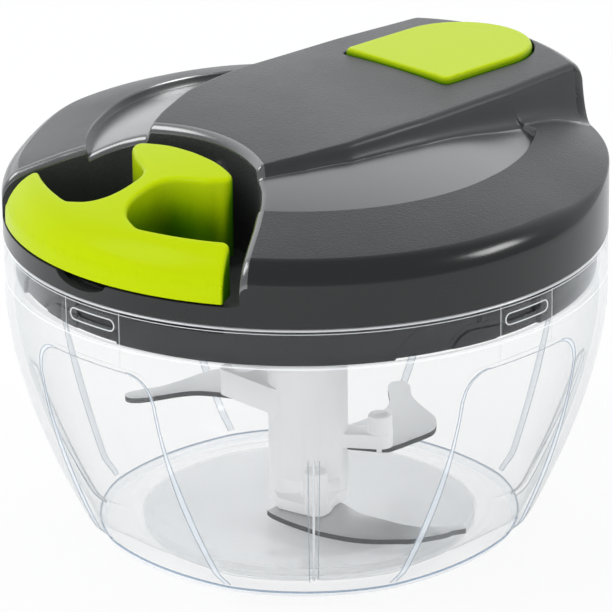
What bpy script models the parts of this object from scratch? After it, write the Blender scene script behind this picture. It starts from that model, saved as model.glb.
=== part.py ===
"""Manual food chopper with a pull cord, as separate pieces at real size.

Metres, +Z up. The origin is the middle of the bowl's foot. The handle is pulled towards -Y,
the button lies towards +Y. Each moving piece has its origin on the axis that it moves on.
"""
import math

import bmesh
import bpy
from mathutils import Matrix, Vector

# Fits
CLEAR = 0.0004
SEAT = 0.0003
OVERRUN = 0.002
WELD = 0.0000005

# Bowl
RIM_RADIUS = 0.075
FOOT_TAPER = 0.0209
FOOT_RADIUS = RIM_RADIUS - FOOT_TAPER
RIM_HEIGHT = 0.0785
SHOULDER_DROP = 0.0165
SHOULDER_HEIGHT = RIM_HEIGHT - SHOULDER_DROP
TAPER_POWER_SHARE = 1.6
BOWL_WALL = 0.0021
COLLAR_WALL = 0.0022
LEDGE_DROP = 0.0095
LEDGE_HEIGHT = RIM_HEIGHT - LEDGE_DROP
FLOOR_TOP = 0.0028
FLOOR_FILLET = 0.004
FOOT_CHAMFER = 0.0009
PANEL_HALF_WIDTH = 0.0195
PANEL_TOP_RISE = 0.0010
PANEL_TOP = SHOULDER_HEIGHT + PANEL_TOP_RISE
PANEL_CORNER = 0.0055
BOWL_TURN = math.radians(3.5)
WINDOW_HALF_LENGTH = 0.0070
WINDOW_HALF_HEIGHT = 0.0017
WINDOW_DROP = 0.0045
WINDOW_CENTRE = RIM_HEIGHT - WINDOW_DROP
RIB_HALF_WIDTH = 0.0010
RIB_DEPTH = 0.0014
RIB_TOP = 0.0400
LUG_HALF_LENGTH = 0.0055
LUG_DEPTH = 0.0010
LUG_DROP = 0.0009
LUG_THICKNESS = 0.0012
LUG_TOP = RIM_HEIGHT - LUG_DROP
LUG_BOTTOM = LUG_TOP - LUG_THICKNESS

# Pad and pin in the foot
PAD_MARGIN = 0.0121
PAD_RADIUS = FOOT_RADIUS - PAD_MARGIN
PAD_THICKNESS = 0.0010
PIN_RADIUS = 0.0019
PIN_TOP = 0.0150

# Blade unit
BLADE_MARGIN = 0.0061
BLADE_REACH = FOOT_RADIUS - BLADE_MARGIN
HUB_SHARE = 0.2104
HUB_RADIUS = BLADE_REACH * HUB_SHARE
HUB_BOTTOM = 0.0033
HUB_TOP = LEDGE_HEIGHT
SOCKET_DEPTH = 0.0130
BUSH_WALL = 0.0012
BUSH_LENGTH = 0.0100
BLADE_THICKNESS = 0.0012
LOWER_BLADE_SHARE = 0.927
LOWER_BLADE_REACH = BLADE_REACH * LOWER_BLADE_SHARE
BLADE_WIDTH_SHARE = 0.469
BLADE_WIDTH = BLADE_REACH * BLADE_WIDTH_SHARE
ARM_REACH_SHARE = 0.448
ARM_REACH = BLADE_REACH * ARM_REACH_SHARE
ARM_HALF_WIDTH = 0.0042
PEG_SHARE = 0.144
PEG_RADIUS = ARM_REACH * PEG_SHARE
PEG_HOLE_SHARE = 0.516
PEG_HOLE_RADIUS = PEG_RADIUS * PEG_HOLE_SHARE
PEG_RISE = 0.0065
LOWER_BLADE_Z = 0.0043
MIDDLE_BLADE_Z = 0.0185
UPPER_BLADE_Z = 0.0280
LOWER_ARM_RISE = 0.0048
MIDDLE_ARM_RISE = 0.0040
UPPER_ARM_RISE = 0.0050
HEEL_START_ANGLE = math.radians(-12)
HEEL_END_ANGLE = math.radians(80)
LOWER_BLADE_ANGLE = math.radians(18.5)
MIDDLE_BLADE_ANGLE = math.radians(108.5)
UPPER_BLADE_ANGLE = math.radians(218.5)
LOWER_ARM_ANGLE = math.radians(-36.5)
MIDDLE_ARM_ANGLE = math.radians(37.5)
UPPER_ARM_ANGLE = math.radians(200.0)

# Lid shell
LID_WALL = 0.0022
LID_EDGE_RISE = 0.0100
LID_EDGE_HEIGHT = RIM_HEIGHT + LID_EDGE_RISE
LID_FILLET_WIDTH = 0.0042
LID_TOP_RADIUS = RIM_RADIUS - LID_FILLET_WIDTH
LID_FILLET_RISE = 0.0064
LID_TOP_EDGE_HEIGHT = LID_EDGE_HEIGHT + LID_FILLET_RISE
LID_RING_WIDTH = 0.0166
SCOOP_RADIUS = LID_TOP_RADIUS - LID_RING_WIDTH
SCOOP_STEP = 0.0018
DOME_RISE = 0.0300
DOME_HEIGHT = RIM_HEIGHT + DOME_RISE
RIDGE_RISE = 0.0023
RIDGE_TOP = DOME_HEIGHT + RIDGE_RISE
RIDGE_FRONT_DROP = 0.0044
RIDGE_FRONT_TOP = RIDGE_TOP - RIDGE_FRONT_DROP
RIDGE_HALF_WIDTH = 0.0314
RIDGE_FRONT_HALF_WIDTH = 0.0213
RIDGE_END_HALF_WIDTH = 0.0265
RIDGE_CREST_Y = 0.0100
RIDGE_FRONT_Y = -0.0350
RIDGE_EDGE_ROUND = 0.0022
RIDGE_END_ROUND = 0.0050

# Handle bay
BAY_BACK_Y = -0.0290
BAY_BACK_RADIUS = 0.0467
BAY_CORNER_RADIUS = 0.0460
BAY_BACK_HALF_ANGLE = math.radians(28)
BAY_HALF_ANGLE = math.radians(36.4)
BAY_FLOOR_RISE = 0.0028
BAY_FLOOR = RIM_HEIGHT + BAY_FLOOR_RISE
BAY_FLOOR_THICKNESS = 0.0020
SILL_RISE = 0.0050
SILL_HEIGHT = RIM_HEIGHT + SILL_RISE
SILL_WALL = 0.0019
NOTCH_HALF_WIDTH = 0.0088
NOTCH_DEPTH = 0.0028
NOTCH_X = 0.0030

# Handle
HANDLE_GAP = 0.0006
HANDLE_BOTTOM = SILL_HEIGHT + HANDLE_GAP
HANDLE_INSET = 0.0002
HANDLE_RADIUS = RIM_RADIUS - HANDLE_INSET
HANDLE_PROUD = 0.0004
HANDLE_DOME_HEIGHT = DOME_HEIGHT + HANDLE_PROUD
HANDLE_EDGE_ROUND = 0.0075
HANDLE_HALF_ANGLE = math.radians(34.2)
HANDLE_BAR_WIDTH = 0.0086
HANDLE_BAR_RADIUS = HANDLE_RADIUS - HANDLE_BAR_WIDTH
HANDLE_BACK_Y = -0.0353
HANDLE_BACK_HALF_WIDTH = 0.0186
HANDLE_NECK_HALF_WIDTH = 0.0031

# Lower cover, seal and screws
SKIRT_GAP = 0.0006
SKIRT_RADIUS = RIM_RADIUS - COLLAR_WALL - SKIRT_GAP
SKIRT_WALL = 0.0024
SEAL_ROOM = 0.0020
SKIRT_BOTTOM = LEDGE_HEIGHT + SEAL_ROOM
COVER_THICKNESS = 0.0022
COVER_RISE = 0.0005
COVER_TOP = RIM_HEIGHT + COVER_RISE
COVER_BOTTOM = COVER_TOP - COVER_THICKNESS
COVER_BOSS_RADIUS = 0.0110
COVER_BOSS_DROP = 0.0056
COVER_BOSS_BOTTOM = COVER_BOTTOM - COVER_BOSS_DROP
SEAL_WIDTH = 0.0032
SEAL_INNER_RADIUS = SKIRT_RADIUS - SEAL_WIDTH
SCREW_MARGIN = 0.0170
SCREW_CIRCLE = RIM_RADIUS - SCREW_MARGIN
SCREW_RADIUS = 0.0013
SCREW_HEAD_RADIUS = 0.0027
SCREW_HEAD_HEIGHT = 0.0014
SCREW_LENGTH = 0.0120
SCREW_BOSS_RADIUS = 0.0036
CHANNEL_HALF_LENGTH = 0.0070
CHANNEL_DEPTH = 0.0015
CHANNEL_RUN = math.radians(26)

# Drum, shaft and clutch
SHAFT_RADIUS = 0.0040
SHAFT_PIVOT_RADIUS = 0.0020
SHAFT_GRIP = 0.0105
CUP_RADIUS = 0.0215
CUP_WALL = 0.0012
SPRING_INNER_RADIUS = 0.0075
SPRING_OUTER_RADIUS = 0.0195
SPRING_STRIP = 0.0004
SPRING_HEIGHT = 0.0050
SPRING_TURNS = 4
ARBOR_RADIUS = 0.0062
DRUM_FLANGE = 0.0012
DRUM_RADIUS = 0.0205
DRUM_CORE_RADIUS = 0.0138
CORD_RADIUS = 0.0008
CORD_PITCH = 0.0020
CORD_TURNS = 4
CORD_STEPS = 24
EYELET_RADIUS = 0.0032
EYELET_FLANGE = 0.0008
KNOT_RADIUS = 0.0022
KNOT_LENGTH = 0.0034
WHEEL_RADIUS = 0.0085
WHEEL_THICKNESS = 0.0018
WHEEL_TEETH = 12
WHEEL_TOOTH_DEPTH = 0.0015
PAWL_RADIUS = 0.0150
PAWL_THICKNESS = 0.0015
PAWL_GAP = 0.0003
PAWL_START_ANGLE = math.radians(-60)
PAWL_END_ANGLE = math.radians(200)
TOP_BUSH_LENGTH = 0.0020

# Button and latch
BUTTON_MARGIN = 0.0205
BUTTON_END_Y = RIM_RADIUS - BUTTON_MARGIN
BUTTON_STRAIGHT = 0.0240
BUTTON_FRONT_Y = BUTTON_END_Y - BUTTON_STRAIGHT
BUTTON_HALF_WIDTH = 0.0176
BUTTON_PROUD = 0.0020
BUTTON_TOP = RIDGE_TOP + BUTTON_PROUD
BUTTON_DEPTH = 0.0042
BUTTON_GAP = 0.0005
BUTTON_TRAVEL = 0.0022
POCKET_DEPTH = 0.0072
STEM_RADIUS = 0.0030
STEM_Y = BUTTON_END_Y
STEM_GAP = 0.0078
STEM_BOTTOM = COVER_TOP + STEM_GAP
SPRING_COIL_RADIUS = 0.0046
SPRING_WIRE_RADIUS = 0.0004
LATCH_HALF_WIDTH = 0.0040
LATCH_TIP_GAP = 0.0005
LATCH_TIP_Y = SKIRT_RADIUS - LATCH_TIP_GAP
LATCH_TAIL = 0.0115
LATCH_BACK_Y = STEM_Y - LATCH_TAIL
LATCH_BAR_HEIGHT = 0.0034
LATCH_LEG_THICKNESS = 0.0030
LATCH_NOSE_HALF_HEIGHT = 0.0013
LATCH_NOSE_BOTTOM = WINDOW_CENTRE - LATCH_NOSE_HALF_HEIGHT
LATCH_NOSE_TOP = WINDOW_CENTRE + LATCH_NOSE_HALF_HEIGHT
LATCH_POST_THICKNESS = 0.0025
LATCH_POST_GAP = 0.0040
LATCH_POST_Y = CUP_RADIUS + LATCH_POST_GAP + LATCH_POST_THICKNESS

# Levels of the drive, from the cover up to the roof
CUP_BOTTOM = COVER_TOP + SEAT
SPRING_BOTTOM = CUP_BOTTOM + CUP_WALL + SEAT
CUP_TOP = SPRING_BOTTOM + SPRING_HEIGHT + 2 * CLEAR
DRUM_BOTTOM = CUP_TOP + 2 * SEAT
WINDING_BOTTOM = DRUM_BOTTOM + DRUM_FLANGE + SEAT + CORD_RADIUS
CORD_LEVEL = WINDING_BOTTOM + CORD_TURNS * CORD_PITCH
DRUM_TOP = CORD_LEVEL + CORD_RADIUS + SEAT + DRUM_FLANGE
WHEEL_BOTTOM = DRUM_TOP + SEAT
SHAFT_NECK = WHEEL_BOTTOM + WHEEL_THICKNESS + SEAT
TOP_BUSH_BOTTOM = SHAFT_NECK + SEAT
SHAFT_TOP = TOP_BUSH_BOTTOM + TOP_BUSH_LENGTH
SHAFT_BOTTOM = HUB_TOP - SHAFT_GRIP

# Turns a prism drawn in (y, z) so that it runs along X
ALONG_X = Matrix(((0, 0, 1, 0), (1, 0, 0, 0), (0, 1, 0, 0), (0, 0, 0, 1)))

SHARP_ANGLE = math.radians(35)
ROUND_STEPS = 60
FINE_STEPS = 24


def clear_scene():
    for item in list(bpy.data.objects):
        bpy.data.objects.remove(item, do_unlink=True)


def plastic(name, colour, roughness=0.4, metallic=0.0, alpha=1.0):
    """A Principled material, one for each sub-part."""
    material = bpy.data.materials.new(name)
    material.use_nodes = True
    shader = material.node_tree.nodes["Principled BSDF"]
    shader.inputs["Base Color"].default_value = (*colour, 1.0)
    shader.inputs["Roughness"].default_value = roughness
    shader.inputs["Metallic"].default_value = metallic
    shader.inputs["Alpha"].default_value = alpha
    return material


CLEAR_TINT = (0.86, 0.90, 0.92)
GREY = (0.095, 0.098, 0.102)
BLACK = (0.06, 0.06, 0.065)
GREEN = (0.52, 0.68, 0.02)
WHITE = (0.85, 0.85, 0.85)
PAD_GREY = (0.55, 0.56, 0.56)
STEEL = (0.62, 0.62, 0.63)
BRASS = (0.75, 0.6, 0.3)
CORD_WHITE = (0.85, 0.85, 0.82)


def finish(bm, name, colour, roughness=0.4, metallic=0.0, alpha=1.0, origin=(0, 0, 0)):
    """Turns a bmesh into an object whose origin is the given point."""
    bmesh.ops.remove_doubles(bm, verts=bm.verts, dist=WELD)
    bmesh.ops.recalc_face_normals(bm, faces=bm.faces)
    bmesh.ops.translate(bm, verts=bm.verts, vec=-Vector(origin))
    mesh = bpy.data.meshes.new(name)
    bm.to_mesh(mesh)
    bm.free()
    mesh.shade_smooth()
    mesh.set_sharp_from_angle(angle=SHARP_ANGLE)
    item = bpy.data.objects.new(name, mesh)
    item.location = origin
    item.data.materials.append(plastic(name, colour, roughness, metallic, alpha))
    bpy.context.collection.objects.link(item)
    return item


def cutter(bm, name):
    """A shape that only serves the Boolean modifiers of other pieces."""
    item = finish(bm, name, WHITE)
    item.hide_render = True
    item.display_type = "WIRE"
    return item


def boolean(target, tool, operation="DIFFERENCE"):
    modifier = target.modifiers.new(tool.name, "BOOLEAN")
    modifier.operation = operation
    modifier.object = tool


def turned(profile, steps=ROUND_STEPS, centre=(0, 0)):
    """Spins a closed outline of (radius, height) points about a vertical axis."""
    bm = bmesh.new()
    points = [bm.verts.new((centre[0] + r, centre[1], z)) for r, z in profile]
    edges = [bm.edges.new((a, b)) for a, b in zip(points, points[1:] + points[:1])
             if profile[points.index(a)][0] > 0 or profile[points.index(b)][0] > 0]
    bmesh.ops.spin(bm, geom=points + edges, cent=(*centre, 0), axis=(0, 0, 1),
                   angle=math.tau, steps=steps, use_merge=True)
    bmesh.ops.remove_doubles(bm, verts=bm.verts, dist=WELD)
    bmesh.ops.dissolve_degenerate(bm, edges=bm.edges, dist=WELD)
    return bm


def extruded(outline, bottom, top, place=None):
    """A prism on a closed outline of (x, y) points, moved by a matrix if one is given."""
    bm = bmesh.new()
    face = bm.faces.new([bm.verts.new((x, y, bottom)) for x, y in outline])
    grown = bmesh.ops.extrude_face_region(bm, geom=[face])
    raised = [v for v in grown["geom"] if isinstance(v, bmesh.types.BMVert)]
    bmesh.ops.translate(bm, verts=raised, vec=(0, 0, top - bottom))
    if place is not None:
        bmesh.ops.transform(bm, matrix=place, verts=bm.verts)
    return bm


def merged(*parts):
    """One bmesh that holds several separate closed bodies."""
    bm = parts[0]
    for other in parts[1:]:
        mesh = bpy.data.meshes.new("joined")
        other.to_mesh(mesh)
        other.free()
        bm.from_mesh(mesh)
        bpy.data.meshes.remove(mesh)
    return bm


def arc(radius, start, end, steps, centre=(0, 0)):
    """Points on a circle, angles counted from -Y towards +X."""
    points = []
    for i in range(steps + 1):
        angle = start + (end - start) * i / steps
        points.append((centre[0] + radius * math.sin(angle), centre[1] - radius * math.cos(angle)))
    return points


def circle(radius, steps=FINE_STEPS, centre=(0, 0)):
    return arc(radius, 0, math.tau * (steps - 1) / steps, steps - 1, centre)


def box(low, high):
    outline = [(low[0], low[1]), (high[0], low[1]), (high[0], high[1]), (low[0], high[1])]
    return extruded(outline, low[2], high[2])


def tube_along(points, radius, sides, flat=None):
    """A closed tube through the points; flat=(half width, half height) makes it a strip."""
    bm = bmesh.new()
    rings = []
    for i, point in enumerate(points):
        ahead = points[min(i + 1, len(points) - 1)]
        behind = points[max(i - 1, 0)]
        along = (Vector(ahead) - Vector(behind)).normalized()
        side = along.cross(Vector((0, 0, 1))).normalized()
        up = side.cross(along)
        ring = []
        for k in range(sides):
            turn = math.tau * (k + 0.5) / sides
            if flat:
                across = math.copysign(flat[0], math.cos(turn))
                rise = math.copysign(flat[1], math.sin(turn))
            else:
                across = radius * math.cos(turn)
                rise = radius * math.sin(turn)
            ring.append(bm.verts.new(Vector(point) + side * across + up * rise))
        rings.append(ring)
    for first, second in zip(rings, rings[1:]):
        for k in range(sides):
            bm.faces.new((first[k], first[(k + 1) % sides], second[(k + 1) % sides], second[k]))
    bm.faces.new(rings[0])
    bm.faces.new(rings[-1])
    return bm


# Bowl

def pillar_radius(z):
    """Outer radius of the round stretches between the flats."""
    drop = max(0.0, SHOULDER_HEIGHT - z) / SHOULDER_HEIGHT
    return RIM_RADIUS - (RIM_RADIUS - FOOT_RADIUS) * drop ** TAPER_POWER_SHARE


def panel_share(offset, z):
    """1 inside a pressed flat, 0 outside it, for a sideways offset from its middle line."""
    if z > PANEL_TOP:
        return 0.0
    edge = PANEL_HALF_WIDTH
    if z > PANEL_TOP - PANEL_CORNER:
        rise = min(PANEL_CORNER, z - (PANEL_TOP - PANEL_CORNER))
        edge = PANEL_HALF_WIDTH - PANEL_CORNER + math.sqrt(PANEL_CORNER ** 2 - rise ** 2)
    return 1.0 if abs(offset) < edge else 0.0


def bowl_radius(angle, z, inset):
    """Radius of the wall at an angle, pulled in to a chord across each flat."""
    outer = pillar_radius(z)
    quarter = math.tau / 4
    turn = (angle + quarter / 2) % quarter - quarter / 2
    chord = math.sqrt(outer ** 2 - PANEL_HALF_WIDTH ** 2)
    if panel_share(outer * math.sin(turn), z) and abs(turn) < quarter / 2:
        outer = min(outer, chord / math.cos(turn))
    return outer - inset


def bowl_angles(z):
    """Angles of the mesh columns, which follow the creases of the flats."""
    half = math.asin(PANEL_HALF_WIDTH / pillar_radius(z))
    inside = 6
    between = 6
    angles = []
    for k in range(4):
        middle = math.tau / 4 * k
        for i in range(inside):
            angles.append(middle - half + 2 * half * i / inside)
        for i in range(between):
            angles.append(middle + half + (math.tau / 4 - 2 * half) * i / between)
    return angles


def bowl_rings():
    """Heights and insets of the wall, from the middle of the foot up and back down inside."""
    pad_recess = PAD_THICKNESS + SEAT
    wall_shares = (0.08, 0.2, 0.35, 0.5, 0.65, 0.8, 0.92)
    heights = [FOOT_CHAMFER] + [SHOULDER_HEIGHT * share for share in wall_shares]
    heights += [PANEL_TOP - PANEL_CORNER / 3, PANEL_TOP, PANEL_TOP + CLEAR, RIM_HEIGHT]
    rings = [(pad_recess, None, PIN_RADIUS + SEAT), (pad_recess, None, PAD_RADIUS + CLEAR),
             (0.0, None, PAD_RADIUS + CLEAR), (0.0, FOOT_CHAMFER, None)]
    rings += [(z, 0.0, None) for z in heights]
    rings.append((RIM_HEIGHT, COLLAR_WALL, None))
    rings.append((LEDGE_HEIGHT, COLLAR_WALL, None))
    rings.append((LEDGE_HEIGHT, COLLAR_WALL + BOWL_WALL, None))
    inner = [z for z in reversed(heights) if FLOOR_TOP + FLOOR_FILLET < z < LEDGE_HEIGHT]
    rings += [(z, BOWL_WALL + (COLLAR_WALL if z > PANEL_TOP else 0.0) * (z - PANEL_TOP)
               / (LEDGE_HEIGHT - PANEL_TOP), None) for z in inner]
    for step in (0, 1, 2):
        angle = math.tau / 4 * step / 2
        rise = FLOOR_FILLET * (1 - math.sin(angle))
        inset = FLOOR_FILLET * (1 - math.cos(angle))
        rings.append((FLOOR_TOP + rise, BOWL_WALL + inset, None))
    rings.append((FLOOR_TOP, None, PIN_RADIUS + SEAT))
    return rings


def make_bowl():
    bm = bmesh.new()
    rings = []
    for z, inset, radius in bowl_rings():
        ring = []
        for angle in bowl_angles(z):
            r = radius if radius else bowl_radius(angle, z, inset)
            ring.append(bm.verts.new((r * math.sin(angle), -r * math.cos(angle), z)))
        rings.append(ring)
    count = len(rings[0])
    for first, second in zip(rings, rings[1:] + rings[:1]):
        for k in range(count):
            bm.faces.new((first[k], first[(k + 1) % count], second[(k + 1) % count], second[k]))
    bowl = finish(bm, "bowl", CLEAR_TINT, 0.05, 0.0, 0.25)
    bowl.rotation_euler[2] = BOWL_TURN
    outline = arc(WINDOW_HALF_HEIGHT, 0, math.pi, 8, (WINDOW_HALF_LENGTH - WINDOW_HALF_HEIGHT, 0))
    outline += arc(WINDOW_HALF_HEIGHT, math.pi, math.tau, 8, (WINDOW_HALF_HEIGHT - WINDOW_HALF_LENGTH, 0))
    slots = []
    for k in range(4):
        upright = Matrix.Rotation(math.tau / 4, 4, "X")
        place = (Matrix.Rotation(BOWL_TURN + math.tau / 4 * k, 4, "Z")
                 @ Matrix.Translation((0, 0, WINDOW_CENTRE)) @ upright)
        slots.append(extruded(outline, RIM_RADIUS - COLLAR_WALL - OVERRUN, RIM_RADIUS + OVERRUN, place))
    boolean(bowl, cutter(merged(*slots), "window_cutter"))
    extras = []
    for k in range(4):
        turn = Matrix.Rotation(BOWL_TURN + math.tau / 4 * (k + 0.5), 4, "Z")
        extras.append(rib(turn))
        extras.append(lug(BOWL_TURN + math.tau / 4 * k))
    boolean(bowl, cutter(merged(*extras), "rib_adder"), "UNION")
    return bowl


def rib(turn):
    """A short upright rib on the inner wall, standing on the floor."""
    bm = bmesh.new()
    root = FLOOR_TOP - BOWL_WALL / 2
    rib_shares = (0.35, 0.65, 1.0)
    levels = [root, FLOOR_TOP + FLOOR_FILLET] + [RIB_TOP * share for share in rib_shares]
    sections = []
    for z in levels:
        wall = pillar_radius(max(z, FLOOR_TOP)) - BOWL_WALL
        inner = wall - RIB_DEPTH - (FLOOR_FILLET / 3 if z <= FLOOR_TOP + FLOOR_FILLET else 0.0)
        if z == levels[-1]:
            inner = wall - RIB_DEPTH / 3
        sections.append([bm.verts.new((x, -y, z)) for x, y in (
            (-RIB_HALF_WIDTH, wall + BOWL_WALL / 2), (RIB_HALF_WIDTH, wall + BOWL_WALL / 2),
            (RIB_HALF_WIDTH / 2, inner), (-RIB_HALF_WIDTH / 2, inner))])
    for first, second in zip(sections, sections[1:]):
        for k in range(4):
            bm.faces.new((first[k], first[(k + 1) % 4], second[(k + 1) % 4], second[k]))
    bm.faces.new(sections[0])
    bm.faces.new(sections[-1])
    bmesh.ops.transform(bm, matrix=turn, verts=bm.verts)
    bmesh.ops.recalc_face_normals(bm, faces=bm.faces)
    return bm


def sector(inner, outer, middle, half_length, bottom, top, steps=4):
    """A ring segment whose half length is measured on its outer radius."""
    half = half_length / outer
    outline = arc(outer, middle - half, middle + half, steps)
    outline += list(reversed(arc(inner, middle - half, middle + half, steps)))
    return extruded(outline, bottom, top)


def lug(middle):
    """A bayonet lug inside the collar, above a window."""
    inner = RIM_RADIUS - COLLAR_WALL
    return sector(inner - LUG_DEPTH, inner + COLLAR_WALL / 2, middle, LUG_HALF_LENGTH, LUG_BOTTOM, LUG_TOP)


def make_base_pad():
    profile = [(0, 0), (PAD_RADIUS, 0), (PAD_RADIUS, PAD_THICKNESS), (0, PAD_THICKNESS)]
    return finish(turned(profile, 48), "base_pad", PAD_GREY, 0.7)


def make_pivot_pin():
    bottom = PAD_THICKNESS + SEAT
    profile = [(0, bottom), (PIN_RADIUS, bottom), (PIN_RADIUS, PIN_TOP - PIN_RADIUS / 2),
               (PIN_RADIUS / 2, PIN_TOP), (0, PIN_TOP)]
    return finish(turned(profile, FINE_STEPS), "pivot_pin", STEEL, 0.3, 1.0)


# Blade unit

def blade_outline(reach):
    """Sickle outline that points along +X; its heel bends round the hub."""
    outer_shares = ((-0.06, -0.68), (0.08, -0.90), (0.24, -1.0), (0.40, -1.0), (0.55, -0.93),
                    (0.68, -0.77), (0.79, -0.54), (0.88, -0.33), (0.96, -0.19), (1.0, -0.09),
                    (0.995, 0.0), (0.96, 0.045), (0.91, 0.035))
    inner_shares = ((0.79, -0.10), (0.66, -0.17), (0.52, -0.18), (0.38, -0.14), (0.28, -0.07))
    points = [(reach * x, BLADE_WIDTH * y) for x, y in outer_shares + inner_shares]
    heel = HUB_RADIUS + 2 * CLEAR
    return points + list(reversed(arc(heel, HEEL_START_ANGLE, HEEL_END_ANGLE, 5)))


def make_blade(name, reach, bottom, angle, arm_angle):
    place = Matrix.Rotation(angle, 4, "Z")
    blade = finish(extruded(blade_outline(reach), bottom, bottom + BLADE_THICKNESS, place),
                   name, STEEL, 0.25, 1.0)
    centre = (peg_reach() * math.cos(arm_angle), peg_reach() * math.sin(arm_angle))
    hole = cutter(extruded(circle(PEG_HOLE_RADIUS + CLEAR, 12, centre), bottom - OVERRUN,
                           bottom + BLADE_THICKNESS + OVERRUN), name + "_hole_cutter")
    boolean(blade, hole)
    return blade


def peg_reach():
    return ARM_REACH - PEG_RADIUS


def arm(angle, bottom, rise):
    """A flat arm on the hub with an upright peg at its end and a rivet through the blade."""
    outline = [(0, -ARM_HALF_WIDTH), (ARM_REACH - ARM_HALF_WIDTH, -ARM_HALF_WIDTH)]
    outline += [(ARM_REACH - ARM_HALF_WIDTH + ARM_HALF_WIDTH * math.sin(t * math.pi / 6),
                 -ARM_HALF_WIDTH * math.cos(t * math.pi / 6)) for t in range(1, 6)]
    outline += [(ARM_REACH - ARM_HALF_WIDTH, ARM_HALF_WIDTH), (0, ARM_HALF_WIDTH)]
    place = Matrix.Rotation(angle, 4, "Z")
    plate = extruded(outline, bottom, bottom + rise, place)
    peg_circle = circle(PEG_RADIUS, 16, (peg_reach(), 0))
    peg = extruded(peg_circle, bottom + rise / 2, bottom + rise + PEG_RISE, place)
    rivet = extruded(circle(PEG_HOLE_RADIUS, 12, (peg_reach(), 0)),
                     bottom - BLADE_THICKNESS - SEAT, bottom + rise / 2, place)
    return plate, peg, rivet


def make_hub():
    bore = PIN_RADIUS + BUSH_WALL + 2 * SEAT
    socket = SHAFT_RADIUS + 2 * CLEAR
    chamfer = HUB_RADIUS / 8
    profile = [(0, HUB_BOTTOM), (HUB_RADIUS - chamfer, HUB_BOTTOM), (HUB_RADIUS, HUB_BOTTOM + chamfer),
               (HUB_RADIUS, HUB_TOP - chamfer), (HUB_RADIUS - chamfer, HUB_TOP), (socket, HUB_TOP),
               (socket, HUB_TOP - SOCKET_DEPTH), (0, HUB_TOP - SOCKET_DEPTH)]
    hub = finish(turned(profile, 32), "blade_hub", WHITE, 0.45)
    for name, angle, bottom, rise in (
            ("lower_arm", LOWER_ARM_ANGLE, LOWER_BLADE_Z, LOWER_ARM_RISE),
            ("middle_arm", MIDDLE_ARM_ANGLE, MIDDLE_BLADE_Z, MIDDLE_ARM_RISE),
            ("upper_arm", UPPER_ARM_ANGLE, UPPER_BLADE_Z, UPPER_ARM_RISE)):
        shapes = arm(angle, bottom + BLADE_THICKNESS + SEAT, rise)
        for suffix, shape in zip(("_plate", "_peg", "_rivet"), shapes):
            boolean(hub, cutter(shape, name + suffix + "_adder"), "UNION")
    well = turned([(0, HUB_BOTTOM - OVERRUN), (bore, HUB_BOTTOM - OVERRUN),
                   (bore, HUB_BOTTOM + BUSH_LENGTH + OVERRUN), (0, HUB_BOTTOM + BUSH_LENGTH + OVERRUN)],
                  FINE_STEPS)
    boolean(hub, cutter(well, "hub_well_cutter"))
    return hub


def make_hub_bush():
    inner = PIN_RADIUS + SEAT
    outer = inner + BUSH_WALL
    profile = [(inner, HUB_BOTTOM), (outer, HUB_BOTTOM), (outer, HUB_BOTTOM + BUSH_LENGTH),
               (inner, HUB_BOTTOM + BUSH_LENGTH)]
    return finish(turned(profile, FINE_STEPS), "hub_bush", BRASS, 0.35, 1.0)


# Lid shell

def dome_height(radius):
    """Height of the lid's outer skin, without the bridge."""
    curve = (DOME_HEIGHT - LID_TOP_EDGE_HEIGHT) / LID_TOP_RADIUS ** 2
    return DOME_HEIGHT - curve * radius ** 2


def dome_profile(inset, bottom):
    """Outline of the dome, moved inwards by an inset."""
    scoop = SCOOP_STEP if inset == 0 else 0.0
    points = [(0, bottom), (RIM_RADIUS - inset, bottom), (RIM_RADIUS - inset, LID_EDGE_HEIGHT)]
    width = RIM_RADIUS - LID_TOP_RADIUS
    rise = LID_TOP_EDGE_HEIGHT - LID_EDGE_HEIGHT
    for step in (1, 2, 3):
        angle = math.tau / 4 * step / 4
        points.append((RIM_RADIUS - inset - width * (1 - math.cos(angle)),
                       LID_EDGE_HEIGHT + (rise - inset) * math.sin(angle)))
    points.append((LID_TOP_RADIUS - inset, LID_TOP_EDGE_HEIGHT - inset))
    points.append(((LID_TOP_RADIUS + SCOOP_RADIUS) / 2,
                   dome_height((LID_TOP_RADIUS + SCOOP_RADIUS) / 2) - inset))
    points.append((SCOOP_RADIUS, dome_height(SCOOP_RADIUS) - inset))
    if scoop:
        points.append((SCOOP_RADIUS - scoop / 2, dome_height(SCOOP_RADIUS) - scoop))
    scoop_shares = ((0.87, 0.75), (0.7, 0.25), (0.35, 0.0))
    for share, depth_share in scoop_shares:
        radius = SCOOP_RADIUS * share
        points.append((radius, dome_height(radius) - inset - scoop * depth_share))
    points.append((0, DOME_HEIGHT - inset))
    return points


def ridge_size(y):
    """Half width and height of the bridge at a distance along it."""
    back = max(0.0, RIDGE_CREST_Y - y) / (RIDGE_CREST_Y - RIDGE_FRONT_Y)
    half = RIDGE_HALF_WIDTH - (RIDGE_HALF_WIDTH - RIDGE_FRONT_HALF_WIDTH) * back ** 2
    top = RIDGE_TOP - (RIDGE_TOP - RIDGE_FRONT_TOP) * back ** 2
    end = max(0.0, y - SCOOP_RADIUS) / (RIM_RADIUS - SCOOP_RADIUS)
    half -= (RIDGE_HALF_WIDTH - RIDGE_END_HALF_WIDTH) * end ** 2
    return half, top


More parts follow.
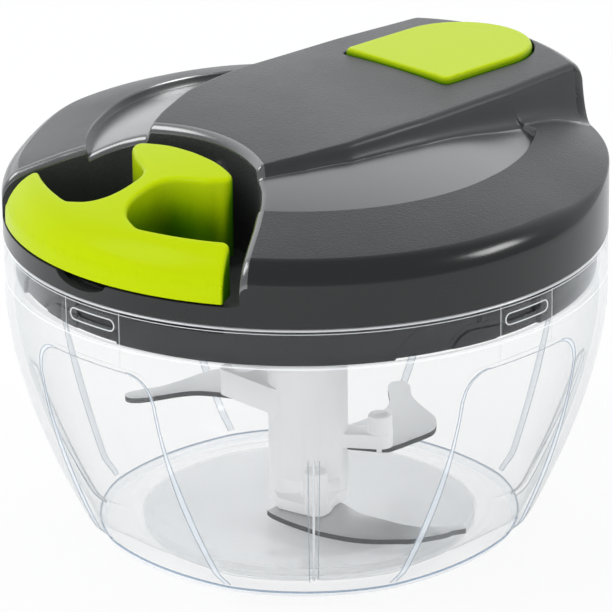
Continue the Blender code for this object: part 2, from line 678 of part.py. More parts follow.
def ridge_block(inset, bottom):
    """The bridge as a loft of cross-sections from the bay to the back of the lid."""
    bm = bmesh.new()
    sections = []
    start = BAY_BACK_Y - OVERRUN * 3
    stop = RIM_RADIUS + OVERRUN
    steps = 14
    for i in range(steps + 1):
        y = start + (stop - start) * i / steps
        half, top = ridge_size(y)
        half -= inset
        top -= inset
        edge = RIDGE_EDGE_ROUND
        flare = edge / 2
        near = edge * (1 - math.sqrt(0.5))
        outline = [(-half - flare, bottom), (-half - flare, top - 3 * edge), (-half, top - edge),
                   (-half + near, top - near), (-half + edge, top), (0, top + edge / 6),
                   (half - edge, top), (half - near, top - near), (half, top - edge),
                   (half + flare, top - 3 * edge), (half + flare, bottom)]
        sections.append([bm.verts.new((x, y, z)) for x, z in outline])
    count = len(sections[0])
    for first, second in zip(sections, sections[1:]):
        for k in range(count):
            bm.faces.new((first[k], first[(k + 1) % count], second[(k + 1) % count], second[k]))
    bm.faces.new(sections[0])
    bm.faces.new(sections[-1])
    return bm


def end_trim(inset, bottom):
    """A round block with a rounded upper edge that the bridge's back end is trimmed to."""
    radius = RIM_RADIUS - inset - SEAT
    top = RIDGE_TOP + RIDGE_EDGE_ROUND - inset
    profile = [(0, bottom), (radius, bottom), (radius, RIDGE_TOP - inset - RIDGE_END_ROUND)]
    for step in (1, 2, 3):
        angle = math.tau / 4 * step / 3
        profile.append((radius - RIDGE_END_ROUND * (1 - math.cos(angle)),
                        RIDGE_TOP - inset - RIDGE_END_ROUND * (1 - math.sin(angle))))
    profile += [(radius - 2 * RIDGE_END_ROUND, top), (0, top)]
    return turned(profile)


def lid_form(name, inset, bottom):
    """Dome and bridge in one closed body."""
    form = cutter(ridge_block(inset, bottom), name + "_bridge")
    boolean(form, cutter(end_trim(inset, bottom - OVERRUN), name + "_trim"), "INTERSECT")
    dome = cutter(turned(dome_profile(inset, bottom)), name)
    boolean(dome, form, "UNION")
    return dome


def bay_outline(grow):
    """Plan of the handle bay: arc at the back, two straight sides out past the rim."""
    centre_y = BAY_BACK_Y - BAY_BACK_RADIUS
    reach = BAY_BACK_RADIUS + grow
    half = BAY_HALF_ANGLE
    out = RIM_RADIUS + OVERRUN
    side = [(out * math.sin(half), -out)]
    for radius in (out, BAY_CORNER_RADIUS):
        side.append((radius * math.sin(half) + grow * math.cos(half),
                     -radius * math.cos(half) + grow * math.sin(half)))
    steps = 10
    back = []
    for i in range(steps + 1):
        angle = BAY_BACK_HALF_ANGLE - 2 * BAY_BACK_HALF_ANGLE * i / steps
        back.append((reach * math.sin(angle), centre_y + reach * math.cos(angle)))
    left = [(-x, y) for x, y in reversed(side)]
    return side + back + left


def button_outline(grow):
    """Plan of the button: straight towards the handle, half round towards the back."""
    half = BUTTON_HALF_WIDTH + grow
    front = BUTTON_FRONT_Y - grow
    points = [(-half, front), (half, front)]
    points += arc(half, math.tau / 4, math.tau * 3 / 4, 14, (0, BUTTON_END_Y))
    return points


def screw_places():
    angles = [math.tau / 4 * (k + 0.5) for k in range(4)]
    return [(SCREW_CIRCLE * math.sin(a), -SCREW_CIRCLE * math.cos(a)) for a in angles]


def make_lid_shell():
    bottom = RIM_HEIGHT + SEAT
    lid = lid_form("lid_shell", 0, bottom)
    lid.hide_render = False
    lid.display_type = "TEXTURED"
    lid.data.materials.clear()
    lid.data.materials.append(plastic("lid_grey", GREY, 0.45))
    boolean(lid, cutter(extruded(bay_outline(0), SILL_HEIGHT, RIDGE_TOP + OVERRUN), "bay_cutter"))
    well = cutter(extruded(bay_outline(-CLEAR), BAY_FLOOR, SILL_HEIGHT + OVERRUN), "bay_well_cutter")
    limit = turned([(0, bottom), (RIM_RADIUS - SILL_WALL, bottom),
                    (RIM_RADIUS - SILL_WALL, RIDGE_TOP), (0, RIDGE_TOP)], ROUND_STEPS + 8)
    boolean(well, cutter(limit, "bay_well_limit"), "INTERSECT")
    boolean(lid, well)
    boolean(lid, make_cavity())
    notch = extruded(arc(NOTCH_DEPTH, math.tau / 4, -math.tau / 4, 12), -RIM_RADIUS - OVERRUN,
                     -RIM_RADIUS + COLLAR_WALL + OVERRUN)
    stretch = Matrix.Diagonal((NOTCH_HALF_WIDTH / NOTCH_DEPTH, 1, 1, 1))
    upright = Matrix.Rotation(math.tau / 4, 4, "X") @ Matrix.Diagonal((1, 1, -1, 1))
    place = Matrix.Translation((NOTCH_X, 0, SILL_HEIGHT + SEAT)) @ stretch @ upright
    bmesh.ops.transform(notch, matrix=place, verts=notch.verts)
    boolean(lid, cutter(notch, "notch_cutter"))
    pocket_floor = RIDGE_TOP - POCKET_DEPTH
    boolean(lid, cutter(extruded(button_outline(BUTTON_GAP), pocket_floor, RIDGE_TOP + OVERRUN * 2),
                        "pocket_cutter"))
    stem = extruded(circle(STEM_RADIUS + CLEAR, 16, (0, STEM_Y)), pocket_floor - 2 * LID_WALL,
                    pocket_floor + OVERRUN)
    boolean(lid, cutter(stem, "stem_hole_cutter"))
    bores = [extruded(circle(SCREW_RADIUS + SEAT, 12, place), bottom, COVER_TOP + SCREW_LENGTH)
             for place in screw_places()]
    boolean(lid, cutter(merged(*bores), "boss_bore_cutter"))
    eyelet = extruded(circle(EYELET_RADIUS, 16), -BAY_BACK_Y - 3 * LID_WALL, -BAY_BACK_Y + LID_WALL,
                      Matrix.Translation((0, 0, CORD_LEVEL)) @ Matrix.Rotation(math.tau / 4, 4, "X"))
    boolean(lid, cutter(eyelet, "eyelet_hole_cutter"))
    pivot = turned([(0, TOP_BUSH_BOTTOM - OVERRUN), (bush_radius(), TOP_BUSH_BOTTOM - OVERRUN),
                    (bush_radius(), SHAFT_TOP + SEAT), (0, SHAFT_TOP + SEAT)], FINE_STEPS)
    boolean(lid, cutter(pivot, "pivot_hole_cutter"))
    return lid


def bush_radius():
    return SHAFT_PIVOT_RADIUS + BUSH_WALL + 2 * SEAT


def make_cavity():
    """The lid's hollow, open downwards, with the bay, the pocket and the bosses left standing."""
    bottom = RIM_HEIGHT - OVERRUN
    cavity = lid_form("cavity", LID_WALL, bottom)
    floor_bottom = BAY_FLOOR - BAY_FLOOR_THICKNESS
    boolean(cavity, cutter(extruded(bay_outline(LID_WALL), floor_bottom, RIDGE_TOP + OVERRUN),
                           "bay_wall_keeper"))
    pocket_bottom = RIDGE_TOP - POCKET_DEPTH - LID_WALL
    boolean(cavity, cutter(extruded(button_outline(BUTTON_GAP + LID_WALL), pocket_bottom,
                                    RIDGE_TOP + OVERRUN), "pocket_wall_keeper"))
    boss_bottom = COVER_TOP + SEAT
    bosses = [extruded(circle(SCREW_BOSS_RADIUS, 16, place), boss_bottom, RIDGE_TOP)
              for place in screw_places()]
    bosses.append(extruded(circle(bush_radius() + LID_WALL, 20), TOP_BUSH_BOTTOM, RIDGE_TOP))
    post_end = LATCH_POST_Y - SPRING_WIRE_RADIUS - SEAT
    bosses.append(box((-LATCH_HALF_WIDTH, post_end - LATCH_POST_THICKNESS, boss_bottom),
                      (LATCH_HALF_WIDTH, post_end, RIDGE_TOP)))
    boolean(cavity, cutter(merged(*bosses), "boss_keeper"))
    return cavity


# Handle

def handle_outline():
    """Plan of the handle: curved bar, narrow neck and a thin plate behind it."""
    half = HANDLE_HALF_ANGLE
    bar = arc(RIM_RADIUS + OVERRUN, -half, half, 16)
    inner_end = HANDLE_BAR_RADIUS
    bar_shares = (1.0, 0.62, 0.3)
    right = [(inner_end * math.sin(half * share), -inner_end * math.cos(half * share))
             for share in bar_shares]
    neck = HANDLE_NECK_HALF_WIDTH
    back = -HANDLE_BACK_Y
    wide = HANDLE_BACK_HALF_WIDTH
    depth = HANDLE_BAR_RADIUS - back
    hollow_shares = ((1.9, 0.86), (1.1, 0.72), (1.0, 0.5), (1.15, 0.4), (1.9, 0.30))
    right += [(neck * across, -back - depth * along) for across, along in hollow_shares]
    plate_shares = ((0.62, 0.20), (1.0, 0.16), (1.0, 0.06), (0.5, 0.015))
    right += [(wide * across, -back - depth * along) for across, along in plate_shares]
    left = [(-x, y) for x, y in reversed(right)]
    return bar + right + [(0, -back)] + left


def make_handle():
    handle = finish(extruded(handle_outline(), HANDLE_BOTTOM, HANDLE_DOME_HEIGHT + OVERRUN),
                    "handle", GREEN, 0.3)
    curve = (DOME_HEIGHT - LID_TOP_EDGE_HEIGHT) / LID_TOP_RADIUS ** 2
    bottom = HANDLE_BOTTOM - OVERRUN
    rounding = HANDLE_EDGE_ROUND
    inner = HANDLE_RADIUS - rounding
    edge_top = HANDLE_DOME_HEIGHT - curve * inner ** 2
    profile = [(0, bottom), (HANDLE_RADIUS, bottom), (HANDLE_RADIUS, edge_top - rounding)]
    for step in (1, 2, 3, 4):
        angle = math.tau / 4 * step / 4
        profile.append((inner + rounding * math.cos(angle), edge_top - rounding * (1 - math.sin(angle))))
    top_shares = (0.8, 0.6, 0.3)
    for share in top_shares:
        radius = HANDLE_RADIUS * share
        profile.append((radius, HANDLE_DOME_HEIGHT - curve * radius ** 2))
    profile.append((0, HANDLE_DOME_HEIGHT))
    boolean(handle, cutter(turned(profile), "handle_top_form"), "INTERSECT")
    upright = Matrix.Translation((0, 0, CORD_LEVEL)) @ Matrix.Rotation(math.tau / 4, 4, "X")
    reach = -HANDLE_BACK_Y
    bore_end = knot_front() + KNOT_LENGTH / 2
    bore = extruded(circle(CORD_RADIUS + SEAT, 12), reach - OVERRUN, bore_end, upright)
    boolean(handle, cutter(bore, "handle_bore_cutter"))
    half = KNOT_RADIUS + SEAT
    seat = box((-half, -knot_front() - KNOT_LENGTH - 3 * SEAT, HANDLE_BOTTOM - OVERRUN),
               (half, -knot_front(), CORD_LEVEL + half))
    boolean(handle, cutter(seat, "knot_seat_cutter"))
    return handle


def knot_front():
    """Distance in front of the axis at which the knot's seat, open downwards, begins."""
    return -HANDLE_BACK_Y + KNOT_RADIUS


# Lower cover, seal and screws

def make_lower_cover():
    inner = SKIRT_RADIUS - SKIRT_WALL
    hole = cover_bore()
    profile = [(hole, COVER_BOSS_BOTTOM), (COVER_BOSS_RADIUS, COVER_BOSS_BOTTOM),
               (COVER_BOSS_RADIUS, COVER_BOTTOM), (inner, COVER_BOTTOM), (inner, SKIRT_BOTTOM),
               (SKIRT_RADIUS, SKIRT_BOTTOM), (SKIRT_RADIUS, COVER_TOP), (hole, COVER_TOP)]
    cover = finish(turned(profile), "lower_cover", BLACK, 0.4)
    cuts = []
    deep = SKIRT_RADIUS - CHANNEL_DEPTH
    out = SKIRT_RADIUS + OVERRUN
    for k in range(4):
        middle = BOWL_TURN + math.tau / 4 * k
        cuts.append(sector(deep, out, middle, CHANNEL_HALF_LENGTH, SKIRT_BOTTOM - OVERRUN,
                           LUG_TOP + CLEAR))
    boolean(cover, cutter(merged(*cuts), "channel_cutter"))
    runs = []
    for k in range(4):
        middle = BOWL_TURN + math.tau / 4 * k + CHANNEL_RUN / 2
        runs.append(sector(deep, out, middle, CHANNEL_RUN * out / 2 + CHANNEL_HALF_LENGTH / 2,
                           LUG_BOTTOM - CLEAR, LUG_TOP + CLEAR, 8))
    boolean(cover, cutter(merged(*runs), "channel_run_cutter"))
    bores = [extruded(circle(SCREW_RADIUS + SEAT, 12, place), COVER_BOTTOM - OVERRUN, COVER_TOP + OVERRUN)
             for place in screw_places()]
    window_back = leg_back() - BUTTON_TRAVEL - 2 * CLEAR
    bores.append(box((-LATCH_HALF_WIDTH - CLEAR, window_back, LATCH_NOSE_BOTTOM - CLEAR),
                     (LATCH_HALF_WIDTH + CLEAR, SKIRT_RADIUS + OVERRUN, COVER_TOP + OVERRUN)))
    boolean(cover, cutter(merged(*bores), "cover_hole_cutter"))
    return cover


def leg_back():
    return LATCH_TIP_Y - LATCH_LEG_THICKNESS


def cover_bore():
    return SHAFT_RADIUS + BUSH_WALL + 3 * SEAT


def make_lid_seal():
    top = SKIRT_BOTTOM - SEAT
    bottom = LEDGE_HEIGHT + SEAT
    outer = RIM_RADIUS - COLLAR_WALL - CLEAR
    profile = [(SEAL_INNER_RADIUS, bottom), (outer, bottom), (outer, top), (SEAL_INNER_RADIUS, top)]
    return finish(turned(profile, 48), "lid_seal", BLACK, 0.8)


def make_cover_screws():
    for number, place in enumerate(screw_places(), 1):
        top = COVER_BOTTOM - SEAT
        crown = SCREW_HEAD_RADIUS - SCREW_HEAD_HEIGHT / 3
        profile = [(0, top - SCREW_HEAD_HEIGHT), (crown, top - SCREW_HEAD_HEIGHT),
                   (SCREW_HEAD_RADIUS, top - SCREW_HEAD_HEIGHT / 2), (SCREW_HEAD_RADIUS, top),
                   (SCREW_RADIUS, top), (SCREW_RADIUS, top + SCREW_LENGTH - SCREW_RADIUS),
                   (0, top + SCREW_LENGTH)]
        finish(turned(profile, 12, place), f"cover_screw_{number}", STEEL, 0.3, 1.0)


# Drum, shaft and clutch

def make_shaft_bush():
    inner = SHAFT_RADIUS + SEAT
    outer = inner + BUSH_WALL
    bottom = COVER_BOSS_BOTTOM
    profile = [(inner, bottom), (outer, bottom), (outer, COVER_TOP), (inner, COVER_TOP)]
    return finish(turned(profile, FINE_STEPS), "shaft_bush", BRASS, 0.35, 1.0)


def make_top_bush():
    inner = SHAFT_PIVOT_RADIUS + SEAT
    outer = inner + BUSH_WALL
    profile = [(inner, TOP_BUSH_BOTTOM), (outer, TOP_BUSH_BOTTOM), (outer, SHAFT_TOP), (inner, SHAFT_TOP)]
    return finish(turned(profile, FINE_STEPS), "top_bush", BRASS, 0.35, 1.0)


def make_drive_shaft():
    """Six-sided shaft with a round pivot at its top."""
    chamfer = SHAFT_RADIUS / 5
    profile = [(0, SHAFT_BOTTOM), (SHAFT_RADIUS - chamfer, SHAFT_BOTTOM),
               (SHAFT_RADIUS, SHAFT_BOTTOM + chamfer), (SHAFT_RADIUS, SHAFT_NECK), (0, SHAFT_NECK)]
    shaft = finish(turned(profile, 6), "drive_shaft", STEEL, 0.3, 1.0)
    pivot = extruded(circle(SHAFT_PIVOT_RADIUS, 12), SHAFT_NECK - SHAFT_RADIUS, SHAFT_TOP)
    boolean(shaft, cutter(pivot, "shaft_pivot_adder"), "UNION")
    return shaft


def make_spring_cup():
    floor = CUP_BOTTOM + CUP_WALL
    hole = SHAFT_RADIUS + 3 * CLEAR
    inner = CUP_RADIUS - CUP_WALL
    profile = [(hole, CUP_BOTTOM), (CUP_RADIUS, CUP_BOTTOM), (CUP_RADIUS, CUP_TOP), (inner, CUP_TOP),
               (inner, floor), (hole, floor)]
    return finish(turned(profile, 36), "spring_cup", GREY, 0.5)


def make_return_spring():
    """Flat strip wound in a spiral, from the drum's arbor out to the cup."""
    points = []
    steps = 16
    level = SPRING_BOTTOM + SPRING_HEIGHT / 2
    for i in range(SPRING_TURNS * steps + 1):
        share = i / (SPRING_TURNS * steps)
        radius = SPRING_INNER_RADIUS + (SPRING_OUTER_RADIUS - SPRING_INNER_RADIUS) * share
        angle = math.tau * i / steps
        points.append((radius * math.sin(angle), -radius * math.cos(angle), level))
    strip = tube_along(points, 0, 4, (SPRING_STRIP / 2, SPRING_HEIGHT / 2))
    return finish(strip, "return_spring", STEEL, 0.25, 1.0)


def make_cord_drum():
    bore = SHAFT_RADIUS + SEAT
    profile = [(bore, SPRING_BOTTOM), (ARBOR_RADIUS, SPRING_BOTTOM), (ARBOR_RADIUS, DRUM_BOTTOM),
               (DRUM_RADIUS, DRUM_BOTTOM), (DRUM_RADIUS, DRUM_BOTTOM + DRUM_FLANGE),
               (DRUM_CORE_RADIUS, DRUM_BOTTOM + DRUM_FLANGE),
               (DRUM_CORE_RADIUS, DRUM_TOP - DRUM_FLANGE), (DRUM_RADIUS, DRUM_TOP - DRUM_FLANGE),
               (DRUM_RADIUS, DRUM_TOP), (bore, DRUM_TOP)]
    return finish(turned(profile, 36), "cord_drum", WHITE, 0.5)


def winding_radius():
    return DRUM_CORE_RADIUS + CORD_RADIUS + SEAT


def tangent_angle():
    """Angle from -Y at which the cord leaves the drum towards the eyelet."""
    return math.acos(winding_radius() / eyelet_distance())


def eyelet_distance():
    return -BAY_BACK_Y - LID_WALL - OVERRUN


def make_cord_winding():
    """Turns of cord on the drum that climb to just under the level of the eyelet."""
    points = []
    total = (CORD_TURNS - 1) * CORD_STEPS
    end = tangent_angle() + math.pi
    for i in range(total + 1):
        left = (total - i) / CORD_STEPS
        angle = end + math.tau * left
        level = CORD_LEVEL - CORD_PITCH * (1 + left)
        radius = winding_radius()
        points.append((radius * math.sin(angle), -radius * math.cos(angle), level))
    return finish(tube_along(points, CORD_RADIUS, 6), "cord_winding", CORD_WHITE, 0.8)


def make_cord_lead():
    """The cord's last half turn on the drum, then through the eyelet into the handle."""
    end = tangent_angle()
    radius = winding_radius()
    half_turn = CORD_STEPS // 2
    points = []
    for i in range(half_turn + 1):
        angle = end + math.pi * (half_turn - i) / half_turn
        points.append(Vector((radius * math.sin(angle), -radius * math.cos(angle), CORD_LEVEL)))
    start = points[-1]
    gate = Vector((0, -eyelet_distance(), CORD_LEVEL))
    run_shares = (0.4, 0.8)
    points += [start + (gate - start) * share for share in run_shares]
    points.append(gate + Vector((0, -LID_WALL / 2, 0)))
    knot = knot_front() + SEAT
    outer_shares = (0.5, 0.8, 1.0)
    points += [Vector((0, -eyelet_distance() - (knot - eyelet_distance()) * share, CORD_LEVEL))
               for share in outer_shares]
    return finish(tube_along(points, CORD_RADIUS, 8), "cord_lead", CORD_WHITE, 0.8)


def make_cord_knot():
    start = knot_front() + 2 * SEAT
    place = Matrix.Translation((0, 0, CORD_LEVEL)) @ Matrix.Rotation(math.tau / 4, 4, "X")
    end = start + KNOT_LENGTH
    chamfer = KNOT_RADIUS / 3
    bm = turned([(0, start), (KNOT_RADIUS - chamfer, start), (KNOT_RADIUS, start + chamfer),
                 (KNOT_RADIUS, end - chamfer), (KNOT_RADIUS - chamfer, end), (0, end)], 12)
    bmesh.ops.transform(bm, matrix=place, verts=bm.verts)
    return finish(bm, "cord_knot", CORD_WHITE, 0.8)


def make_cord_eyelet():
    inner = CORD_RADIUS + 2 * CLEAR
    outer = EYELET_RADIUS - SEAT
    front = -BAY_BACK_Y + SEAT
    back = -BAY_BACK_Y - LID_WALL - SEAT
    flange = outer + EYELET_FLANGE
    face = front + EYELET_FLANGE
    profile = [(inner, back), (outer, back), (outer, front), (flange, front), (flange, face), (inner, face)]
    bm = turned(profile, 16)
    place = Matrix.Translation((0, 0, CORD_LEVEL)) @ Matrix.Rotation(math.tau / 4, 4, "X")
    bmesh.ops.transform(bm, matrix=place, verts=bm.verts)
    return finish(bm, "cord_eyelet", STEEL, 0.3, 1.0)


def make_ratchet_wheel():
    """Saw-toothed wheel on the shaft, above the drum."""
    outline = []
    root = WHEEL_RADIUS - WHEEL_TOOTH_DEPTH
    for k in range(WHEEL_TEETH):
        start = math.tau * k / WHEEL_TEETH
        outline.append((WHEEL_RADIUS * math.sin(start), -WHEEL_RADIUS * math.cos(start)))
        outline.append((root * math.sin(start), -root * math.cos(start)))
    top = WHEEL_BOTTOM + WHEEL_THICKNESS
    wheel = finish(extruded(outline, WHEEL_BOTTOM, top), "ratchet_wheel", STEEL, 0.35, 1.0)
    hole = extruded(circle(SHAFT_RADIUS + SEAT, 16), WHEEL_BOTTOM - OVERRUN, top + OVERRUN)
    boolean(wheel, cutter(hole, "wheel_bore_cutter"))
    return wheel


def make_clutch_pawls():
    """Two small pawls that lie on the drum and point at the wheel's teeth."""
    for number in (1, 2):
        place = Matrix.Rotation(math.pi * number, 4, "Z") @ Matrix.Translation((PAWL_RADIUS, 0, 0))
        outline = arc(PAWL_THICKNESS, PAWL_START_ANGLE, PAWL_END_ANGLE, 8)
        outline.append((WHEEL_RADIUS - PAWL_GAP - PAWL_RADIUS + PAWL_THICKNESS, -2 * PAWL_THICKNESS))
        pawl = extruded(outline, WHEEL_BOTTOM, WHEEL_BOTTOM + PAWL_THICKNESS, place)
        finish(pawl, f"clutch_pawl_{number}", STEEL, 0.35, 1.0)


# Button and latch

def make_release_button():
    bottom = BUTTON_TOP - BUTTON_DEPTH
    button = finish(extruded(button_outline(0), bottom, BUTTON_TOP), "release_button", GREEN, 0.35,
                    origin=(0, STEM_Y, bottom))
    stem = extruded(circle(STEM_RADIUS, 16, (0, STEM_Y)), STEM_BOTTOM, bottom + BUTTON_DEPTH / 2)
    boolean(button, cutter(stem, "stem_adder"), "UNION")
    near = STEM_Y - STEM_RADIUS - OVERRUN
    far = STEM_Y + STEM_RADIUS + OVERRUN
    low = STEM_BOTTOM - OVERRUN
    wedge = extruded([(near, low), (far, low), (near, low + far - near)], -2 * STEM_RADIUS, 2 * STEM_RADIUS,
                     ALONG_X)
    boolean(button, cutter(wedge, "stem_slope_cutter"))
    return button


def coil_points(radius, start, end, turns, centre, axis):
    """Points of an open coil between two places on an axis."""
    points = []
    steps = 8
    for i in range(turns * steps + 1):
        angle = math.tau * i / steps
        along = start + (end - start) * i / (turns * steps)
        across = centre[0] + radius * math.sin(angle)
        if axis == "Z":
            points.append((across, centre[1] - radius * math.cos(angle), along))
        else:
            points.append((across, along, centre[1] + radius * math.cos(angle)))
    return points


def make_button_spring():
    bottom = RIDGE_TOP - POCKET_DEPTH + SPRING_WIRE_RADIUS + SEAT
    top = BUTTON_TOP - BUTTON_DEPTH - SPRING_WIRE_RADIUS - SEAT
    points = coil_points(SPRING_COIL_RADIUS, bottom, top, 2, (0, STEM_Y), "Z")
    return finish(tube_along(points, SPRING_WIRE_RADIUS, 6), "button_spring", STEEL, 0.3, 1.0)


def latch_bar_bottom():
    return COVER_TOP + 2 * CLEAR


def make_lock_latch():
    bar_bottom = latch_bar_bottom()
    bar_top = bar_bottom + LATCH_BAR_HEIGHT
    ramp_foot = STEM_Y + STEM_RADIUS + STEM_BOTTOM - 2 * CLEAR - bar_top
    ramp_rise = STEM_BOTTOM + STEM_RADIUS - bar_top
    shoulder = leg_back() + LATCH_LEG_THICKNESS / 2
    outline = [(LATCH_BACK_Y, bar_bottom), (leg_back(), bar_bottom), (leg_back(), LATCH_NOSE_BOTTOM),
               (LATCH_TIP_Y, LATCH_NOSE_BOTTOM), (LATCH_TIP_Y, LATCH_NOSE_TOP), (shoulder, LATCH_NOSE_TOP),
               (shoulder, bar_top), (ramp_foot, bar_top), (ramp_foot - ramp_rise, bar_top + ramp_rise),
               (LATCH_BACK_Y, bar_top + ramp_rise)]
    bm = extruded(outline, -LATCH_HALF_WIDTH, LATCH_HALF_WIDTH, ALONG_X)
    return finish(bm, "lock_latch", WHITE, 0.5)


def make_latch_spring():
    level = latch_bar_bottom() + LATCH_BAR_HEIGHT + SPRING_COIL_RADIUS / 2
    start = LATCH_POST_Y
    end = LATCH_BACK_Y - SPRING_WIRE_RADIUS - SEAT
    points = coil_points(SPRING_COIL_RADIUS / 2, start, end, 5, (0, level), "Y")
    return finish(tube_along(points, SPRING_WIRE_RADIUS, 5), "latch_spring", STEEL, 0.3, 1.0)


def main():
    clear_scene()
    make_bowl()
    make_base_pad()
    make_pivot_pin()
    make_hub()
    make_hub_bush()
    make_blade("lower_blade", LOWER_BLADE_REACH, LOWER_BLADE_Z, LOWER_BLADE_ANGLE, LOWER_ARM_ANGLE)
    make_blade("middle_blade", BLADE_REACH, MIDDLE_BLADE_Z, MIDDLE_BLADE_ANGLE, MIDDLE_ARM_ANGLE)
    make_blade("upper_blade", BLADE_REACH, UPPER_BLADE_Z, UPPER_BLADE_ANGLE, UPPER_ARM_ANGLE)
    make_lid_shell()
    make_lower_cover()
    make_lid_seal()
    make_cover_screws()
    make_handle()
    make_cord_lead()
    make_cord_knot()
    make_cord_eyelet()
    make_cord_winding()
    make_cord_drum()
    make_drive_shaft()
    make_shaft_bush()
    make_top_bush()
    make_ratchet_wheel()
    make_clutch_pawls()
    make_spring_cup()
    make_return_spring()
    make_release_button()
    make_button_spring()
    make_lock_latch()
    make_latch_spring()


main()
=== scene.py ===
"""Looks of the pull-cord food chopper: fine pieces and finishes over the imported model."""
import math

import bmesh
import bpy
import numpy as np
from mathutils import Matrix, Vector
from mathutils.geometry import delaunay_2d_cdt


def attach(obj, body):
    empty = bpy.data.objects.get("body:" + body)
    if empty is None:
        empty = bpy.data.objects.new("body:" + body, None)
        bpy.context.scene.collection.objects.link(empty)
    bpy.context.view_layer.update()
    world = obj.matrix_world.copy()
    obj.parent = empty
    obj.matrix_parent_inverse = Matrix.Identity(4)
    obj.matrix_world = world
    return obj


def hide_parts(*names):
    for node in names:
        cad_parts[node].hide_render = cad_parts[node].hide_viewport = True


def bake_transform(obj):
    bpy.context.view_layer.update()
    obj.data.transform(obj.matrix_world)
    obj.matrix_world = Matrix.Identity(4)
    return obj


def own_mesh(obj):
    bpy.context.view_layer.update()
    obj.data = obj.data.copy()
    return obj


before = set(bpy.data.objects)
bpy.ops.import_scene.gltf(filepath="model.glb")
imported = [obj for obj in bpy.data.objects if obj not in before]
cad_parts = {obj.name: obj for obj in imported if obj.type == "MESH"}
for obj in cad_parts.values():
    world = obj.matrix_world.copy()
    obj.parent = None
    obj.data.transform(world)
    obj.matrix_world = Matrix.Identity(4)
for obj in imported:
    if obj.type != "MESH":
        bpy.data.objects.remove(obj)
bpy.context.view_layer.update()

MM = 0.001
QUARTER = math.pi / 2


def linked(name, data):
    """A new object in the scene that shows the data."""
    item = bpy.data.objects.new(name, data)
    bpy.context.collection.objects.link(item)
    return item


# Camera

ELEVATION, AZIMUTH, ROLL = 20.79, 48.5, -0.70  # degrees; azimuth counts from -Y towards +X
AIM = (-0.21, 0, 56.17)  # millimetres, before the turn by the azimuth
EYE_DISTANCE = 1200
FOCAL_PIXELS = 4805
PHOTO_PIXELS = 612
SENSOR_WIDTH = 36


def place_camera():
    """The camera fitted to the photograph."""
    data = bpy.data.cameras.new("camera")
    data.sensor_width = SENSOR_WIDTH
    data.lens = SENSOR_WIDTH * FOCAL_PIXELS / PHOTO_PIXELS
    data.clip_end = 20
    camera = linked("camera", data)
    round_object = Matrix.Rotation(math.radians(AZIMUTH), 4, "Z") @ Matrix.Translation(Vector(AIM) * MM)
    tilt = Matrix.Rotation(math.radians(90 - ELEVATION), 4, "X") @ Matrix.Rotation(math.radians(ROLL), 4, "Z")
    camera.matrix_world = round_object @ tilt @ Matrix.Translation((0, 0, EYE_DISTANCE * MM))
    bpy.context.scene.camera = camera


place_camera()


# Node trees

class Sum:
    """An output of a node that takes part in sums: numbers and outputs mix freely."""

    def __init__(self, nodes, socket):
        self.nodes = nodes
        self.socket = socket

    def math(self, operation, *others):
        return self.nodes.node("Math", {"operation": operation}, dict(enumerate((self, *others))))

    def reflected(self, operation, other):
        return self.nodes.node("Math", {"operation": operation}, {0: other, 1: self})

    def __add__(self, other):
        return self.math("ADD", other)

    def __sub__(self, other):
        return self.math("SUBTRACT", other)

    def __mul__(self, other):
        return self.math("MULTIPLY", other)

    def __truediv__(self, other):
        return self.math("DIVIDE", other)

    def __rsub__(self, other):
        return self.reflected("SUBTRACT", other)

    def __rtruediv__(self, other):
        return self.reflected("DIVIDE", other)

    __radd__ = __add__
    __rmul__ = __mul__

    def clamped(self):
        return self.nodes.node("Clamp", {}, {0: self, 1: 0.0, 2: 1.0})


class Nodes:
    """An emptied node tree and its output node."""

    def __init__(self, tree, output):
        self.tree = tree
        tree.nodes.clear()
        self.output = tree.nodes.new(output)

    def plug(self, socket, value):
        if isinstance(value, Sum):
            self.tree.links.new(value.socket, socket)
        elif isinstance(value, tuple) and len(value) == 3 and len(socket.default_value) == 4:
            socket.default_value = (*value, 1.0)
        else:
            socket.default_value = value

    def node(self, kind, settings, inputs, output=0):
        """Adds a node, sets its settings, then its inputs, and gives one of its outputs."""
        item = self.tree.nodes.new(kind if kind.startswith("Geometry") else "ShaderNode" + kind)
        for name, value in settings.items():
            setattr(item, name, value)
        for name, value in inputs.items():
            self.plug(item.inputs[name], value)
        return Sum(self, item.outputs[output])


class Finish(Nodes):
    """A node material while it is being made; set() names the Principled inputs."""

    def __init__(self, name, **constants):
        self.material = bpy.data.materials.new(name)
        self.material.use_nodes = True
        super().__init__(self.material.node_tree, "ShaderNodeOutputMaterial")
        self.principled = self.tree.nodes.new("ShaderNodeBsdfPrincipled")
        self.tree.links.new(self.principled.outputs[0], self.output.inputs[0])
        self.set(**constants)

    def set(self, **values):
        for name, value in values.items():
            self.plug(self.principled.inputs[name.replace("_", " ")], value)

    def place(self):
        return self.node("TexCoord", {}, {}, "Object")

    def stretched(self, scale):
        return self.node("Mapping", {}, {0: self.place(), "Scale": scale})

    def noise(self, size, detail=3.0, roughness=0.5, place=None):
        """Noise whose blotches are about size metres wide."""
        return self.node("TexNoise", {}, {"Vector": place or self.place(), "Scale": 1 / size,
                                          "Detail": detail, "Roughness": roughness})

    def mix(self, factor, first, second):
        return self.node("Mix", {"data_type": "RGBA"}, {0: factor, 6: first, 7: second}, 2)

    def bump(self, height):
        """A surface normal from a height in millimetres."""
        return self.node("Bump", {}, {"Strength": 1.0, "Distance": MM, "Height": height})


# Meshes, worked out in millimetres

